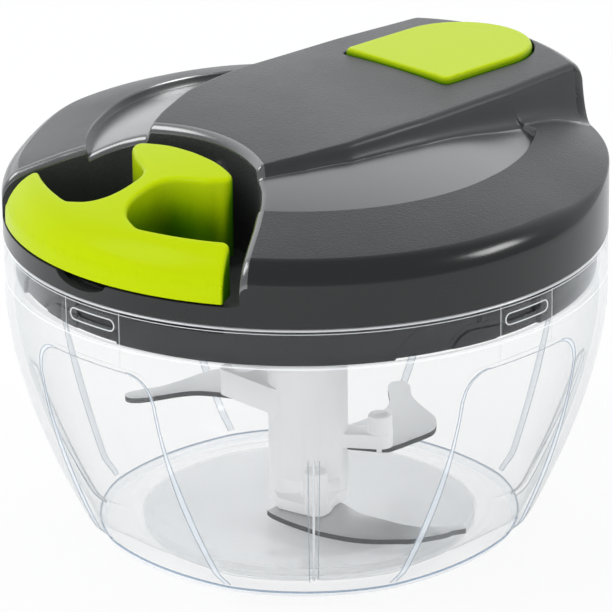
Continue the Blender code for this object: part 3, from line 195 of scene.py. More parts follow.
def mesh_piece(name, points, faces, finishes=(), shares=None, sharp=40):
    """An object from points in millimetres; shares gives each face's finish number."""
    mesh = bpy.data.meshes.new(name)
    mesh.from_pydata([(x * MM, y * MM, z * MM) for x, y, z in points], [], faces)
    if shares is not None:
        mesh.polygons.foreach_set("material_index", shares)
    for finish in finishes:
        mesh.materials.append(finish)
    mesh.validate()
    mesh.shade_smooth()
    mesh.set_sharp_from_angle(angle=math.radians(sharp))
    return linked(name, mesh)


def frozen(item):
    """Gives the piece its evaluated mesh and drops its modifiers."""
    graph = bpy.context.evaluated_depsgraph_get()
    mesh = bpy.data.meshes.new_from_object(item.evaluated_get(graph))
    item.modifiers.clear()
    item.data = mesh
    return item


def tidied(item, sharp=40):
    """Welds doubles, turns faces outwards and marks sharp edges again."""
    bm = bmesh.new()
    bm.from_mesh(item.data)
    bmesh.ops.remove_doubles(bm, verts=bm.verts, dist=0.000002)
    bmesh.ops.dissolve_degenerate(bm, edges=bm.edges, dist=0.000002)
    bmesh.ops.recalc_face_normals(bm, faces=bm.faces)
    bm.to_mesh(item.data)
    bm.free()
    item.data.shade_smooth()
    item.data.set_sharp_from_angle(angle=math.radians(sharp))
    return item


def carved(item, cuts, adds=(), sharp=40):
    """Joins adds to the piece, takes the cuts away and keeps the result as a plain mesh."""
    name = item.name
    for tools, operation in ((adds, "UNION"), (cuts, "DIFFERENCE")):
        if tools:
            group = bpy.data.collections.new(name + operation)
            for tool in tools:
                for home in list(tool.users_collection):
                    home.objects.unlink(tool)
                group.objects.link(tool)
            bpy.context.scene.collection.children.link(group)
            modifier = item.modifiers.new(operation, "BOOLEAN")
            modifier.operation = operation
            modifier.operand_type = "COLLECTION"
            modifier.collection = group
            modifier.solver = "EXACT"
    old = item.data
    frozen(item)
    bpy.data.meshes.remove(old)
    for tool in (*adds, *cuts):
        bpy.data.objects.remove(tool)
    item.data.name = name
    return tidied(item, sharp)


def around(radius, turn, *height):
    """The place at a turn in radians, counted from -Y towards +X, and at a height if one is given."""
    return (radius * math.sin(turn), -radius * math.cos(turn), *height)


def lattice(xs, ys):
    """Plan points in rows and columns."""
    return [(float(x), float(y)) for x in xs for y in ys]


def wrapped(rings):
    """Four-sided faces between each ring of point numbers and the next, closed both ways."""
    count = len(rings[0])
    return [(a[k], a[(k + 1) % count], b[(k + 1) % count], b[k])
            for a, b in zip(rings, rings[1:] + rings[:1]) for k in range(count)]


def inside(x, y, loop):
    """Which of the points lie inside a closed loop."""
    found = np.zeros(len(x), bool)
    for (ax, ay), (bx, by) in zip(loop, loop[1:] + loop[:1]):
        if ay != by:
            crossed = (ay > y) != (by > y)
            found ^= crossed & (x < (bx - ax) * (y - ay) / (by - ay) + ax)
    return found


def distance(x, y, line, closed=True):
    """Distance from each point to a polyline."""
    best = np.full(len(x), 1e9)
    pairs = zip(line, line[1:] + line[:1]) if closed else zip(line, line[1:])
    for (ax, ay), (bx, by) in pairs:
        dx, dy = bx - ax, by - ay
        along = np.clip(((x - ax) * dx + (y - ay) * dy) / (dx * dx + dy * dy + 1e-12), 0, 1)
        best = np.minimum(best, np.hypot(x - ax - along * dx, y - ay - along * dy))
    return best


def spread(points, gap):
    """Leaves out each point that lies nearer than gap to one before it."""
    cells = {}
    kept = []
    for x, y in points:
        i, j = int(x // gap), int(y // gap)
        near = (cells.get((i + a, j + b)) for a in (-1, 0, 1) for b in (-1, 0, 1))
        if all(p is None or (p[0] - x) ** 2 + (p[1] - y) ** 2 > gap * gap for p in near):
            cells[(i, j)] = (x, y)
            kept.append((x, y))
    return kept


def filled(loops, lines, points, gap=0.15):
    """Triangles between closed loops, with open lines kept as edges: flat points and triples."""
    corners = []
    edges = []
    for loop in loops:
        first = len(corners)
        corners += loop
        edges += [(first + k, first + (k + 1) % len(loop)) for k in range(len(loop))]
    for line in lines:
        edges += [(len(corners) + k, len(corners) + k + 1) for k in range(len(line) - 1)]
        corners += line
    taken = set(corners)
    loose = [p for p in spread(corners + points, gap) if p not in taken]
    flat = [Vector(p) for p in corners + loose]
    placed, _, faces, *_ = delaunay_2d_cdt(flat, edges, [], 0, 1e-5)
    x = np.array([p[0] for p in placed])
    y = np.array([p[1] for p in placed])
    triples = np.array([tuple(face) for face in faces])
    cx = x[triples].mean(1)
    cy = y[triples].mean(1)
    keep = inside(cx, cy, loops[0])
    for hole in loops[1:]:
        keep &= ~inside(cx, cy, hole)
    return x, y, triples[keep]


def raised(name, loops, lines, points, top, floor, finishes=(), zone=None, wall_zone=0, gap=0.15,
           sharp=40):
    """A closed solid under a height field, with upright walls along its loops and a flat floor."""
    x, y, faces = filled(loops, lines, points, gap)
    z = top(x, y)
    a, b, c = faces.T
    turned_over = (x[b] - x[a]) * (y[c] - y[a]) - (x[c] - x[a]) * (y[b] - y[a]) < 0
    faces[turned_over] = faces[turned_over][:, ::-1]
    sides = {(f[k], f[(k + 1) % 3]) for f in faces.tolist() for k in range(3)}
    rim = [(i, j) for i, j in sides if (j, i) not in sides]
    used = sorted({i for f in faces.tolist() for i in f})
    number = {i: k for k, i in enumerate(used)}
    corners = [(x[i], y[i], z[i]) for i in used] + [(x[i], y[i], floor) for i in used]
    under = len(used)
    all_faces = [tuple(number[i] for i in f) for f in faces.tolist()]
    zones = [int(v) for v in zone(x[faces].mean(1), y[faces].mean(1))] if zone else [0] * len(all_faces)
    all_faces += [tuple(under + i for i in reversed(f)) for f in all_faces]
    zones += [wall_zone] * len(faces)
    for i, j in rim:
        all_faces.append((number[j], number[i], under + number[i], under + number[j]))
        zones.append(wall_zone)
    return mesh_piece(name, corners, all_faces, finishes, zones, sharp)


def prism(name, outline, bottom, top, place=None):
    """A plain upright block on an outline, used to carve other pieces."""
    count = len(outline)
    points = [(x, y, bottom) for x, y in outline] + [(x, y, top) for x, y in outline]
    faces = [tuple(reversed(range(count))), tuple(range(count, 2 * count))]
    faces += [(k, (k + 1) % count, count + (k + 1) % count, count + k) for k in range(count)]
    item = mesh_piece(name, points, faces)
    if place is not None:
        item.data.transform(place)
    return tidied(item)


def lathe(name, profile, steps=96, centre=(0, 0), finishes=(), sharp=40):
    """A closed outline of (radius, height) pairs turned about an upright axis."""
    points = []
    rings = []
    for r, z in profile:
        if r <= 0:
            rings.append([len(points)] * steps)
            points.append((*centre, z))
        else:
            rings.append(list(range(len(points), len(points) + steps)))
            points += [(centre[0] + x, centre[1] + y, z)
                       for x, y in (around(r, math.tau * k / steps) for k in range(steps))]
    faces = []
    for a, b in zip(rings, rings[1:] + rings[:1]):
        for k in range(steps):
            m = (k + 1) % steps
            face = list(dict.fromkeys((a[k], a[m], b[m], b[k])))
            if len(face) > 2:
                faces.append(tuple(face))
    return tidied(mesh_piece(name, points, faces, finishes), sharp)


def arc(radius, start, end, steps, centre=(0, 0)):
    """Points on a circle; degrees counted from -Y towards +X."""
    spots = [around(radius, math.radians(start + (end - start) * k / steps)) for k in range(steps + 1)]
    return [(centre[0] + x, centre[1] + y) for x, y in spots]


def softened(corners, steps=6):
    """A closed loop whose corners (x, y, radius) are rounded."""
    loop = []
    count = len(corners)
    for k, (x, y, radius) in enumerate(corners):
        here = Vector((x, y))
        before = Vector(corners[k - 1][:2]) - here
        after = Vector(corners[(k + 1) % count][:2]) - here
        if radius <= 0:
            loop.append((x, y))
            continue
        angle = before.angle(after)
        reach = radius / math.tan(angle / 2)
        reach = min(reach, before.length * 0.49, after.length * 0.49)
        radius = reach * math.tan(angle / 2)
        start = here + before.normalized() * reach
        middle = here + (before.normalized() + after.normalized()).normalized() * radius / math.sin(angle / 2)
        first = start - middle
        last = here + after.normalized() * reach - middle
        sweep = first.angle_signed(last)
        for i in range(steps + 1):
            turn = Matrix.Rotation(-sweep * i / steps, 2)
            loop.append(tuple(middle + turn @ first))
    return loop


def resampled(line, step, closed=True):
    """The same line with a point at least every step."""
    points = []
    ends = line[1:] + line[:1] if closed else line[1:]
    for (ax, ay), (bx, by) in zip(line, ends):
        parts = max(1, math.ceil(math.hypot(bx - ax, by - ay) / step))
        points += [(ax + (bx - ax) * k / parts, ay + (by - ay) * k / parts) for k in range(parts)]
    if not closed:
        points.append(line[-1])
    return points


def shifted(loop, inset, closed=True):
    """A loop moved to its left by an inset, point by point."""
    result = []
    count = len(loop)
    for k, (x, y) in enumerate(loop):
        ax, ay = loop[k - 1] if closed or k else loop[k]
        bx, by = loop[(k + 1) % count] if closed or k + 1 < count else loop[k]
        length = math.hypot(bx - ax, by - ay) or 1.0
        result.append((x - (by - ay) / length * inset, y + (bx - ax) / length * inset))
    return result


def echoes(loop, insets):
    """The loop's points again at each inset to both sides."""
    return [p for inset in insets for p in shifted(loop, inset) + shifted(loop, -inset)]


def within(points, loop, margin):
    """The points that lie inside a loop, at least a margin from it."""
    x, y = np.array(points).T
    keep = inside(x, y, loop) & (distance(x, y, loop) > margin)
    return list(zip(x[keep].tolist(), y[keep].tolist()))


def eased(share):
    """0 to 1 with a smooth start and end, also outside that range."""
    share = np.clip(share, 0, 1)
    return share * share * (3 - 2 * share)


def shoulder(inwards, radius):
    """Drop of a rounded edge at a distance inwards from a wall."""
    inwards = np.clip(inwards, 0, radius)
    return radius - np.sqrt(np.maximum(radius ** 2 - (radius - inwards) ** 2, 0))


# Finishes

def moulded(name, colour, roughness, grain=0.0, wave=0.06, specular=0.5, spread_share=0.06, **more):
    """Moulded plastic: faint tone changes, a slightly wavy skin and, if asked, a grain in millimetres."""
    finish = Finish(name, Specular_IOR_Level=specular, **more)
    tone = finish.noise(0.018, 2.0) * 2 - 1
    fleck = finish.noise(0.0009, 2.0) * 2 - 1
    lift = 1 + spread_share * (tone * 0.7 + fleck * 0.5)
    dark = tuple(c * 0.5 for c in colour)
    bright = tuple(min(1.0, c * 1.5) for c in colour)
    finish.set(Base_Color=finish.mix((lift - 0.5).clamped(), dark, bright))
    rubbed = finish.noise(0.03, 4.0, 0.6)
    finish.set(Roughness=(roughness + (rubbed - 0.5) * roughness * 0.35).clamped())
    skin = finish.noise(0.011, 1.0) * wave
    if grain:
        pits = finish.node("TexVoronoi", {"feature": "SMOOTH_F1"},
                           {"Vector": finish.place(), "Scale": 1 / 0.00052, "Smoothness": 0.6})
        skin = skin + (pits * 0.6 + finish.noise(0.0004, 3.0) * 0.7) * grain
    finish.set(Normal=finish.bump(skin))
    return finish.material


LID_GRAINED = moulded("lid_grained", (0.034, 0.035, 0.036), 0.44, grain=0.12, spread_share=0.34)
LID_GLOSSY = moulded("lid_glossy", (0.012, 0.0125, 0.013), 0.19, wave=0.04, specular=0.42)
LID_SATIN = moulded("lid_satin", (0.040, 0.041, 0.042), 0.24, wave=0.03, specular=1.0, IOR=1.82)
LID_SHADED = moulded("lid_shaded", (0.026, 0.027, 0.028), 0.4, wave=0.03, specular=0.45)
WHITE = moulded("white_plastic", (0.95, 0.95, 0.95), 0.36, wave=0.04, spread_share=0.02)
# painted light: the glow paints in light that comes through the clear bowl from the white table
GLOW = (0.97, 0.98, 1.0)
HUB_WHITE_PAINTED_GLOW = moulded("hub_plastic", (0.95, 0.95, 0.95), 0.36, wave=0.04, spread_share=0.02,
                    Emission_Color=GLOW, Emission_Strength=0.15)
DARK = moulded("dark_plastic", (0.016, 0.017, 0.019), 0.25, specular=0.42)
RUBBER = moulded("black_rubber", (0.03, 0.03, 0.032), 0.65, grain=0.02)
# painted light: the pad's light grey is raised near to white and given a glow, for light that reaches it
# through the clear bowl
PAD_GREY_PAINTED_GLOW = moulded("grey_rubber", (0.96, 0.96, 0.96), 0.6, grain=0.03, spread_share=0.02,
                   Emission_Color=GLOW, Emission_Strength=0.32)


def metal(name, colour, roughness, brushed, depth=0.012):
    """Bare metal with fine brush lines, depth millimetres deep, along one direction."""
    finish = Finish(name, Metallic=1.0)
    lines = finish.noise(0.0006, 4.0, 0.6, finish.stretched(brushed))
    tone = finish.noise(0.012, 2.0)
    shade = (0.35 + lines * 0.35 + tone * 0.3).clamped()
    dark, bright = tuple(c * 0.8 for c in colour), tuple(min(1, c * 1.12) for c in colour)
    finish.set(Base_Color=finish.mix(shade, dark, bright))
    finish.set(Roughness=(roughness * 0.7 + lines * roughness * 0.6).clamped())
    finish.set(Normal=finish.bump(lines * depth))
    return finish.material


BLADE_STEEL = metal("blade_steel", (0.46, 0.46, 0.46), 0.36, (1, 0.08, 1))
# painted shade: a near-black copy of the steel for the blades' upright cut sides
BLADE_EDGE_PAINTED_SHADE = metal("blade_edge", (0.026, 0.026, 0.026), 0.5, (0.1, 0.1, 1))
BRIGHT_STEEL = metal("bright_steel", (0.60, 0.60, 0.61), 0.28, (1, 1, 0.1))
BRASS = metal("bearing_brass", (0.75, 0.60, 0.30), 0.35, (1, 1, 0.1))


def green_plastic():
    """Glossy green plastic with painted shade: its colour turns darker and greener where the surface is
    hidden from light.
    """
    finish = Finish("green_gloss", IOR=1.2, Specular_IOR_Level=0.2)
    open_share = finish.node("AmbientOcclusion", {"samples": 8}, {"Distance": 0.022}, "AO")
    # painted shade: ambient occlusion darkens and deepens the green in hollows and under edges
    deep = ((open_share - 0.5) * 2.2).clamped()
    finish.set(Base_Color=finish.mix(deep, (0.05, 0.17, 0.0005), (0.49, 0.63, 0.002)))
    finish.set(Roughness=0.2 + finish.noise(0.02, 3.0) * 0.08)
    finish.set(Normal=finish.bump(finish.noise(0.011, 1.0) * 0.03))
    return finish.material


GREEN = green_plastic()


def clear(name, colour, seen, edge, roughness, **more):
    """Clear moulded plastic: hardly seen face on, clearer to see along its edges and folds."""
    finish = Finish(name, Specular_IOR_Level=0.9, **more)
    slope = finish.node("LayerWeight", {}, {"Blend": 0.5}, "Facing")
    finish.set(Base_Color=finish.mix(finish.noise(0.02, 2.0), tuple(c * 0.96 for c in colour), colour))
    finish.set(Roughness=roughness + finish.noise(0.012, 3.0) * roughness)
    finish.set(Normal=finish.bump(finish.noise(0.014, 2.0) * 0.05))
    finish.set(Alpha=(seen + slope * slope * slope * slope * edge).clamped())
    return finish.material


CLEAR = clear("clear_plastic", (0.82, 0.85, 0.87), 0.06, 0.6, 0.03)
# painted highlight: a whiter, nearly opaque copy of the clear plastic for the bright lines along the rim, the
# ledge, the window rims, the seams and the ribs
CLEAR_EDGE_PAINTED_HIGHLIGHT = clear("clear_plastic_edge", (0.93, 0.95, 0.97), 0.7, 0.3, 0.12)
CLEAR_COLLAR = clear("clear_plastic_collar", (0.84, 0.87, 0.90), 0.010, 0.62, 0.03)
# painted highlight: a brighter, glowing copy of the clear plastic for the bands along the folds and the
# foot's rounded rows
CLEAR_FOLD_PAINTED_HIGHLIGHT = clear("clear_plastic_fold", (0.84, 0.90, 0.96), 0.34, 0.40, 0.08,
                   Emission_Color=(0.88, 0.94, 1.0), Emission_Strength=0.22)
# painted shade: a dark copy of the clear plastic for the fine dark lines beside the folds, the ribs and along
# the flats' tops
CLEAR_LINE_PAINTED_SHADE = clear("clear_plastic_line", (0.36, 0.43, 0.50), 0.50, 0.3, 0.1)
# painted shade: a dark blue-grey line round the bowl's foot
CLEAR_FOOT_PAINTED_SHADE = clear("clear_plastic_foot", (0.28, 0.43, 0.60), 0.55, 0.3, 0.1)


def braid():
    """White braided cord: two sets of strands crossing round it."""
    finish = Finish("braided_cord", Roughness=0.8)
    strand = finish.node("TexWave", {"wave_type": "BANDS", "bands_direction": "DIAGONAL"},
                         {"Vector": finish.place(), "Scale": 900.0, "Distortion": 1.5})
    fuzz = finish.noise(0.0003, 3.0)
    finish.set(Base_Color=finish.mix(strand, (0.55, 0.55, 0.52), (0.88, 0.88, 0.85)))
    finish.set(Normal=finish.bump(strand * 0.15 + fuzz * 0.05))
    return finish.material


CORD = braid()


# Lid

RIM = 75.0
LID_BOTTOM = 78.8
LID_WALL = 2.4
WELL_WALL = 2.2  # of the bay and the button's pocket
BAY_FLOOR = 83.5
BAY_LOW = 81.3  # under the front of the bay
ABOVE = 125  # higher than everything
FILLET_WIDTH = 4.2
FILLET_DROP = 6.4
POCKET_FLOOR = 103.6
STEM = (0, 54.5)
BUTTON_TOP = 112.8
CORD_LEVEL = 97.5


def dome(r):
    """Height of the lid's plain dome at a radius."""
    return 108.5 - r * r / 367


TURN = 0.035


def turned(x, y):
    """Plan place seen along the bridge, which sits a little turned on the lid."""
    return x + TURN * y, y - TURN * x


def ridge_half(y):
    """Half the bridge's width along it."""
    return np.interp(y, [-40, -34, -25, -13, -2, 9.5, 23, 40, 45, 56, 64, 72, 80],
                     [16.4, 20.3, 25.0, 29.6, 31.2, 31.9, 31.5, 31.1, 30.7, 29.7, 29.1, 28.6, 28.2])


def ridge_top(x, y):
    """Height of the bridge's crowned top."""
    crest = np.where(y < 10, 110.2 - 0.0021 * (10 - y) ** 2, 110.2 + 0.2 * eased((y - 10) / 45))
    return crest + (0.45 + 0.95 * eased((y - 5) / 30)) * (1 - (x / 31.5) ** 2)


def ring_radius(x, y):
    """Outer radius of the crescents, wider towards the back end of the bridge."""
    turn = np.degrees(np.arctan2(np.abs(x), -y))
    return np.interp(turn, [104, 118, 131, 146.5, 156], [54.1, 54.6, 55.8, 58.2, 60.0])


def crescent_end(across):
    """How far back the crescents reach beside the bridge."""
    return 41 + 0.45 * (np.abs(across) - 30.5)


def fillet_table():
    """The side's rounded shoulder as (share of width, share of drop), smooth into dome and wall."""
    t = np.linspace(0, 1, 41)[:, None]
    bend, rise = np.array([0.524, 0.133]), np.array([1.0, 0.5625])
    return 3 * t * (1 - t) ** 2 * bend + 3 * t * t * (1 - t) * rise + t ** 3


FILLET = fillet_table()


def shoulder_share(x, y):
    """1 round the front of the lid, falling to almost 0 beside the bridge's end."""
    turn = np.degrees(np.arctan2(np.abs(x), -y))
    return 1 - 0.93 * eased((turn - 98) / 32)


def curved(points, parts=6):
    """An open line made smooth through its points."""
    line = [Vector(p) for p in points]
    line = [2 * line[0] - line[1]] + line + [2 * line[-1] - line[-2]]
    result = []
    for a, b, c, d in zip(line, line[1:], line[2:], line[3:]):
        for k in range(parts):
            t = k / parts
            spot = 2 * b + (c - a) * t + (2 * a - 5 * b + 4 * c - d) * t * t
            spot += (3 * b - a - 3 * c + d) * t ** 3
            result.append(tuple(spot / 2))
    return result + [tuple(line[-2])]


def bay_loop(grow=0.0):
    """Plan of the handle bay, out past the rim; grow makes it wider."""
    back = [(x, -75.7 + math.sqrt(46.7 ** 2 - x * x)) for x in np.linspace(0, 21.9, 16)]
    side = [around(r, math.radians(36.4)) for r in (60, 79)]
    right = back[:-1] + curved([back[-1], (25.2, -36.7), (28.0, -39.4), (30.9, -42.7), side[0]]) + [side[1]]
    left = [(-x, y) for x, y in reversed(right[1:])]
    loop = resampled(left + right, 1.0, False)
    return shifted(loop, grow, False)


def pocket_loop(grow=0.0):
    """Plan of the button's pocket: straight in front, half round behind."""
    half = 18.7 + grow
    front = 30.6 - grow
    corner = 1.6
    loop = [(-half, front + corner), (-half + corner * 0.3, front + corner * 0.3), (-half + corner, front)]
    loop += [(half - corner, front), (half - corner * 0.3, front + corner * 0.3), (half, front + corner)]
    loop = resampled(loop + arc(half, 90, 270, 40, (0, 54.6)), 1.2)
    return [(x - TURN * y, y + TURN * x) for x, y in loop]


def raised_edge(x, y):
    """The lid's edge stands a little higher round the back and along the left."""
    left = eased((-x - 35) / 30) * eased((y + 45) / 30)
    behind = eased((y - 25) / 35)
    return 2.6 * np.maximum(left, behind) * eased((np.hypot(x, y) - 38) / 22)


def body(x, y):
    """The lid's dome with its rounded shoulder, without bridge and crescents."""
    r = np.hypot(x, y)
    share = shoulder_share(x, y)
    start = RIM - FILLET_WIDTH * share
    z = dome(np.minimum(r, start)) + raised_edge(x, y)
    past = (r - start) / (FILLET_WIDTH * share)
    return z - FILLET_DROP * share * np.interp(past, FILLET[:, 0], FILLET[:, 1])


def sunk(x, y):
    """Depth of the crescents on both sides of the bridge."""
    across, along = turned(x, y)
    inner = ridge_half(along)
    ring = ring_radius(x, y)
    outer = np.sqrt(np.maximum(ring ** 2 - y * y, 0))
    past = np.clip((np.abs(across) - inner) / np.maximum(outer - inner, 6.0), 0, 1)
    inwards = np.minimum((ring - np.hypot(x, y)) / 0.8, (crescent_end(across) - along) / 0.6)
    return (0.4 + 1.9 * past ** 1.3) * eased(inwards)


def edge_sizes(x, y):
    """Height of the bridge's wall beside a place, its edge round and the width of its hollow foot."""
    across, along = turned(x, y)
    half = ridge_half(along)
    foot_x = np.sign(across) * half - TURN * along
    wall = np.maximum(ridge_top(half, along) - body(foot_x, y), 0.3)
    return wall, np.minimum(2.0, 0.5 * wall), np.clip(0.5 * wall, 1.6, 6.0)


BAY = bay_loop()
POCKET = pocket_loop()


def open_bay(grow):
    """The bay's plan closed far outside the rim, for cutting."""
    return bay_loop(grow) + [(60, -90), (-60, -90)]


def lid_top(x, y):
    """Height of the whole lid with bridge, crescents and rounded edges."""
    wall, edge, foot = edge_sizes(x, y)
    across, along = turned(x, y)
    past = np.abs(across) - ridge_half(along)
    end = shoulder(RIM - np.hypot(x, y), 4.0)
    bridge = ridge_top(across, along) - shoulder(-past, edge) - end
    fade = (1 - np.clip(past / foot, 0, 1)) ** 3
    beside = body(x, y) + (wall - edge - end) * fade - sunk(x, y) * (1 - fade)
    z = np.where(past <= 0, bridge, beside)
    in_bay = inside(x, y, open_bay(0))
    z -= shoulder(np.where(in_bay, 0, distance(x, y, BAY, False)), 1.9)
    in_pocket = inside(x, y, POCKET)
    return z - shoulder(np.where(in_pocket, 0, distance(x, y, POCKET)), 0.4)


def lid_zone(x, y):
    """0 grained, 1 glossy side, 2 satin crescents and bay edge, 3 the bridge's shaded side."""
    _, edge, foot = edge_sizes(x, y)
    across, along = turned(x, y)
    past = np.abs(across) - ridge_half(along)
    r = np.hypot(x, y)
    zone = np.where((r < ring_radius(x, y)) & (along < crescent_end(across)), 2, 0)
    zone = np.where(r > RIM - FILLET_WIDTH * shoulder_share(x, y), 1, zone)
    zone = np.where(past < foot, 2, zone)
    zone = np.where(past < foot * 0.75, 3, zone)
    zone = np.where(past < -edge * 0.8, 0, zone)
    zone = np.where((past < foot) & (r > RIM - 3), 1, zone)
    return np.where(distance(x, y, BAY, False) < 1.85, 2, zone)


def lid_lines():
    """Lines that the lid's faces follow: along the bridge, the bay, the pocket and the shoulder."""
    lines = []
    ys = np.arange(-46, 78.5, 1.2)
    feet = {side: edge_sizes(side * (ridge_half(ys) + 1) - TURN * ys, ys)[2] for side in (-1, 1)}
    offsets = (-2.0, -1.75, -1.45, -1.15, -0.85, -0.58, -0.36, -0.19, -0.07, 0.0, 0.03, 0.08, 0.16, 0.27, 0.4,
               0.56, 0.75, 1.0, 1.3, 1.7, 2.2, 2.8, 3.5, 4.3, 5.2, 6.1)
    for offset, foot in [*((offset, 0) for offset in offsets), (0, 0.75), (0, 1.0)]:
        for side in (-1, 1):
            xs = side * (ridge_half(ys) + offset + foot * feet[side]) - TURN * ys
            lines.append(list(zip(xs.tolist(), ys.tolist())))
    for along in (0.0, 0.15, 0.3, 0.45, 0.6):
        for side in (-1, 1):
            lines.append([(side * s - TURN * y, y + TURN * side * s)
                          for s in np.arange(30.5, 39.6, 0.9) for y in [float(crescent_end(s)) - along]])
    lines += [shifted(BAY, offset, False) for offset in (0.0, 0.04, 0.13, 0.28, 0.5, 0.8, 1.1, 1.5, 1.9)]
    for offset in (0.0, 0.05, 0.15, 0.28, 0.4):
        loop = resampled(pocket_loop(offset), 1.5)
        lines.append(loop + loop[:1])
    turns = np.radians(np.arange(0, 361, 1.2))
    width = FILLET_WIDTH * shoulder_share(np.sin(turns), -np.cos(turns))
    rings = [RIM - width * (1 - u) for u in (0.985, 0.95, 0.88, 0.79, 0.68, 0.55, 0.4, 0.25, 0.12, 0.0)]
    rings += [ring_radius(np.sin(turns), -np.cos(turns)) - inset for inset in (0.0, 0.15, 0.3, 0.5, 0.8, 1.2)]
    lines += [[around(float(r), a) for r, a in zip(ring, turns)] for ring in rings]
    for inset in (0.05, 0.2, 0.5, 1.0, 1.6, 2.4, 3.2, 4.0):
        lines.append(arc(RIM - inset, 150, 210, 60))
    return lines


def make_lid():
    """The lid: a solid under lid_top, hollowed from below, with bay, pocket and holes cut through."""
    steps = np.arange(-74, 75, 2.4)
    grid = [p for p in lattice(steps, steps) if math.hypot(*p) < RIM - 1]
    lid = raised("lid", [arc(RIM, 0, 359, 359)], lid_lines(), grid, lid_top, LID_BOTTOM,
                 (LID_GRAINED, LID_GLOSSY, LID_SATIN, LID_SHADED), lid_zone, 1, gap=0.9)
    steps = np.arange(-72, 73, 4.0)
    coarse = [p for p in lattice(steps, steps) if math.hypot(*p) < 72]
    roof = raised("cavity", [arc(72.7, 0, 356, 89)], [], coarse,
                  lambda x, y: body(x, y) - sunk(x, y) - LID_WALL, 77.0)
    roof = carved(roof, [prism("bay_keep", open_bay(WELL_WALL), BAY_LOW - 2, ABOVE),
                         prism("pocket_keep", pocket_loop(WELL_WALL), POCKET_FLOOR - WELL_WALL, ABOVE)])
    deep = carved(prism("bay_deep", open_bay(-0.03), BAY_LOW, 90),
                  [lathe("bay_limit", [(73.1, 70), (95, 70), (95, 95), (73.1, 95)], 180)])
    notch = [(3 + 8.8 * math.cos(t), 83.9 - 3.2 * math.sin(t))
             for t in np.linspace(-0.12, math.pi + 0.12, 25)]
    upright = Matrix.Rotation(QUARTER, 4, "X")
    hole = arc(3.2, 0, 345, 23)
    lid = carved(lid, [prism("bay_cut", open_bay(-0.02), BAY_FLOOR, ABOVE), deep,
                       prism("notch_cut", notch, 71, 79, upright),
                       prism("pocket_cut", pocket_loop(-0.02), POCKET_FLOOR, ABOVE), roof,
                       prism("stem_hole", arc(3.4, 0, 345, 23, STEM), 95, 110),
                       prism("eyelet_hole", [(x, y + CORD_LEVEL) for x, y in hole], 26, 36, upright)])
    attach(lid, "lid")
    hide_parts("lid_shell")


make_lid()


# Handle and button

BAR_OUTER = 74.8
BAR_INNER = 66.2
BAR_ROUND = 7.6


def handle_half(end, corner):
    """Plan of one half of the handle, from the middle of the bar round to the plate."""
    bar = [(*p, 0) for p in arc(BAR_OUTER, 0, end - 1.1, 40)]
    bar += [(*around(BAR_OUTER, math.radians(end)), 1.8), (*around(BAR_INNER, math.radians(end)), 2.2)]
    inner = [around(BAR_INNER, math.radians(turn)) for turn in (29.0, 26, 21, 16, 12)]
    hollow = [(11.2, -64.4), (7.4, -63.0), (4.6, -60.3), (3.3, -57.0), (3.0, -53.5), (3.3, -50.4),
              (4.8, -48.0), (7.8, -46.2), (10.8, -44.9), (13.6, -43.4), (corner - 2.1, -41.9)]
    plate = [(corner - 0.4, -40.6), (corner, -39.0), (corner - 1.1, -37.7), (13.4, -36.7), (8.0, -35.7),
             (0.0, -35.3)]
    return bar + [(x, y, 0) for x, y in curved(inner + hollow + plate, 4)]


def handle_loop():
    """Plan of the handle: curved bar, waisted neck and the thin plate behind it."""
    right = handle_half(33.2, 17.4)
    left = [(-x, y, r) for x, y, r in reversed(handle_half(31.9, 18.0)) if x > 0.01]
    return resampled(softened(right + left), 0.8)


HANDLE = handle_loop()


def handle_top(x, y):
    """Height of the handle, a little above the dome, with rounded edges."""
    r = np.hypot(x, y)
    z = dome(r) + 0.4 - shoulder(BAR_OUTER - r, BAR_ROUND)
    return z - np.where(r > 74.4, 0, shoulder(distance(x, y, HANDLE), 1.3))


def make_handle():
    """The green pull handle."""
    points = echoes(HANDLE, (0.04, 0.15, 0.33, 0.55, 0.8, 1.05, 1.3, 1.8))
    for drop in (0.05, 0.2, 0.5, 0.95, 1.5, 2.2, 3.1, 4.1, 5.2, 6.4, 7.6):
        points += arc(BAR_OUTER - drop, -34, 34, 80)
    points += lattice(np.arange(-42, 43, 1.8), np.arange(-75, -34, 1.8))
    handle = raised("handle_grip", [HANDLE], [], within(points, HANDLE, 0.03), handle_top, 84.05, (GREEN,),
                    gap=0.12)
    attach(handle, "pull_handle")
    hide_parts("handle")


make_handle()


def make_button():
    """The green button with its stem."""
    loop = pocket_loop(-0.55)

    def top(x, y):
        return BUTTON_TOP - 0.0002 * (x * x + (y - 54) ** 2) - shoulder(distance(x, y, loop), 1.0)

    points = echoes(loop, (0.03, 0.13, 0.3, 0.55, 0.8, 1.1, 1.7))
    points += lattice(np.arange(-18, 19, 1.8), np.arange(29, 75, 1.8))
    button = raised("button_cap", [loop], [], within(points, loop, 0.02), top, 108.6, (GREEN,))
    stem = [(0, 87.5), (2.6, 87.5), (3.0, 88), (3.0, 110), (0, 110)]
    button = carved(button, [], [lathe("button_stem", stem, 24, STEM, (GREEN,))])
    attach(button, "button")
    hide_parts("release_button")


make_button()


# Bowl

BELLY = 62  # from here down the wall draws in
BOWL_WALL = 2.1
BOWL_FLOOR = 2.8
PANEL_MIDDLE = 3.5  # turn of the first flat's middle in degrees
PANEL_TOP = 62.7
PANEL_CORNER = 7
WINDOWS = (5.1, 93.2, 183.5, 273.5)
WINDOW_LEVEL = 74.0
COLLAR = 72.8
LEDGE = 68.15
RIB_ASIDE = 1.1


def wall_radius(z):
    """Outer radius of the bowl where it is round."""
    return RIM - 20.9 * (np.maximum(BELLY - z, 0) / BELLY) ** 1.6


def panel_half(z):
    """Half the width of a pressed flat."""
    return 19.7 + 1.8 * np.clip((BELLY - z) / BELLY, 0, 1)


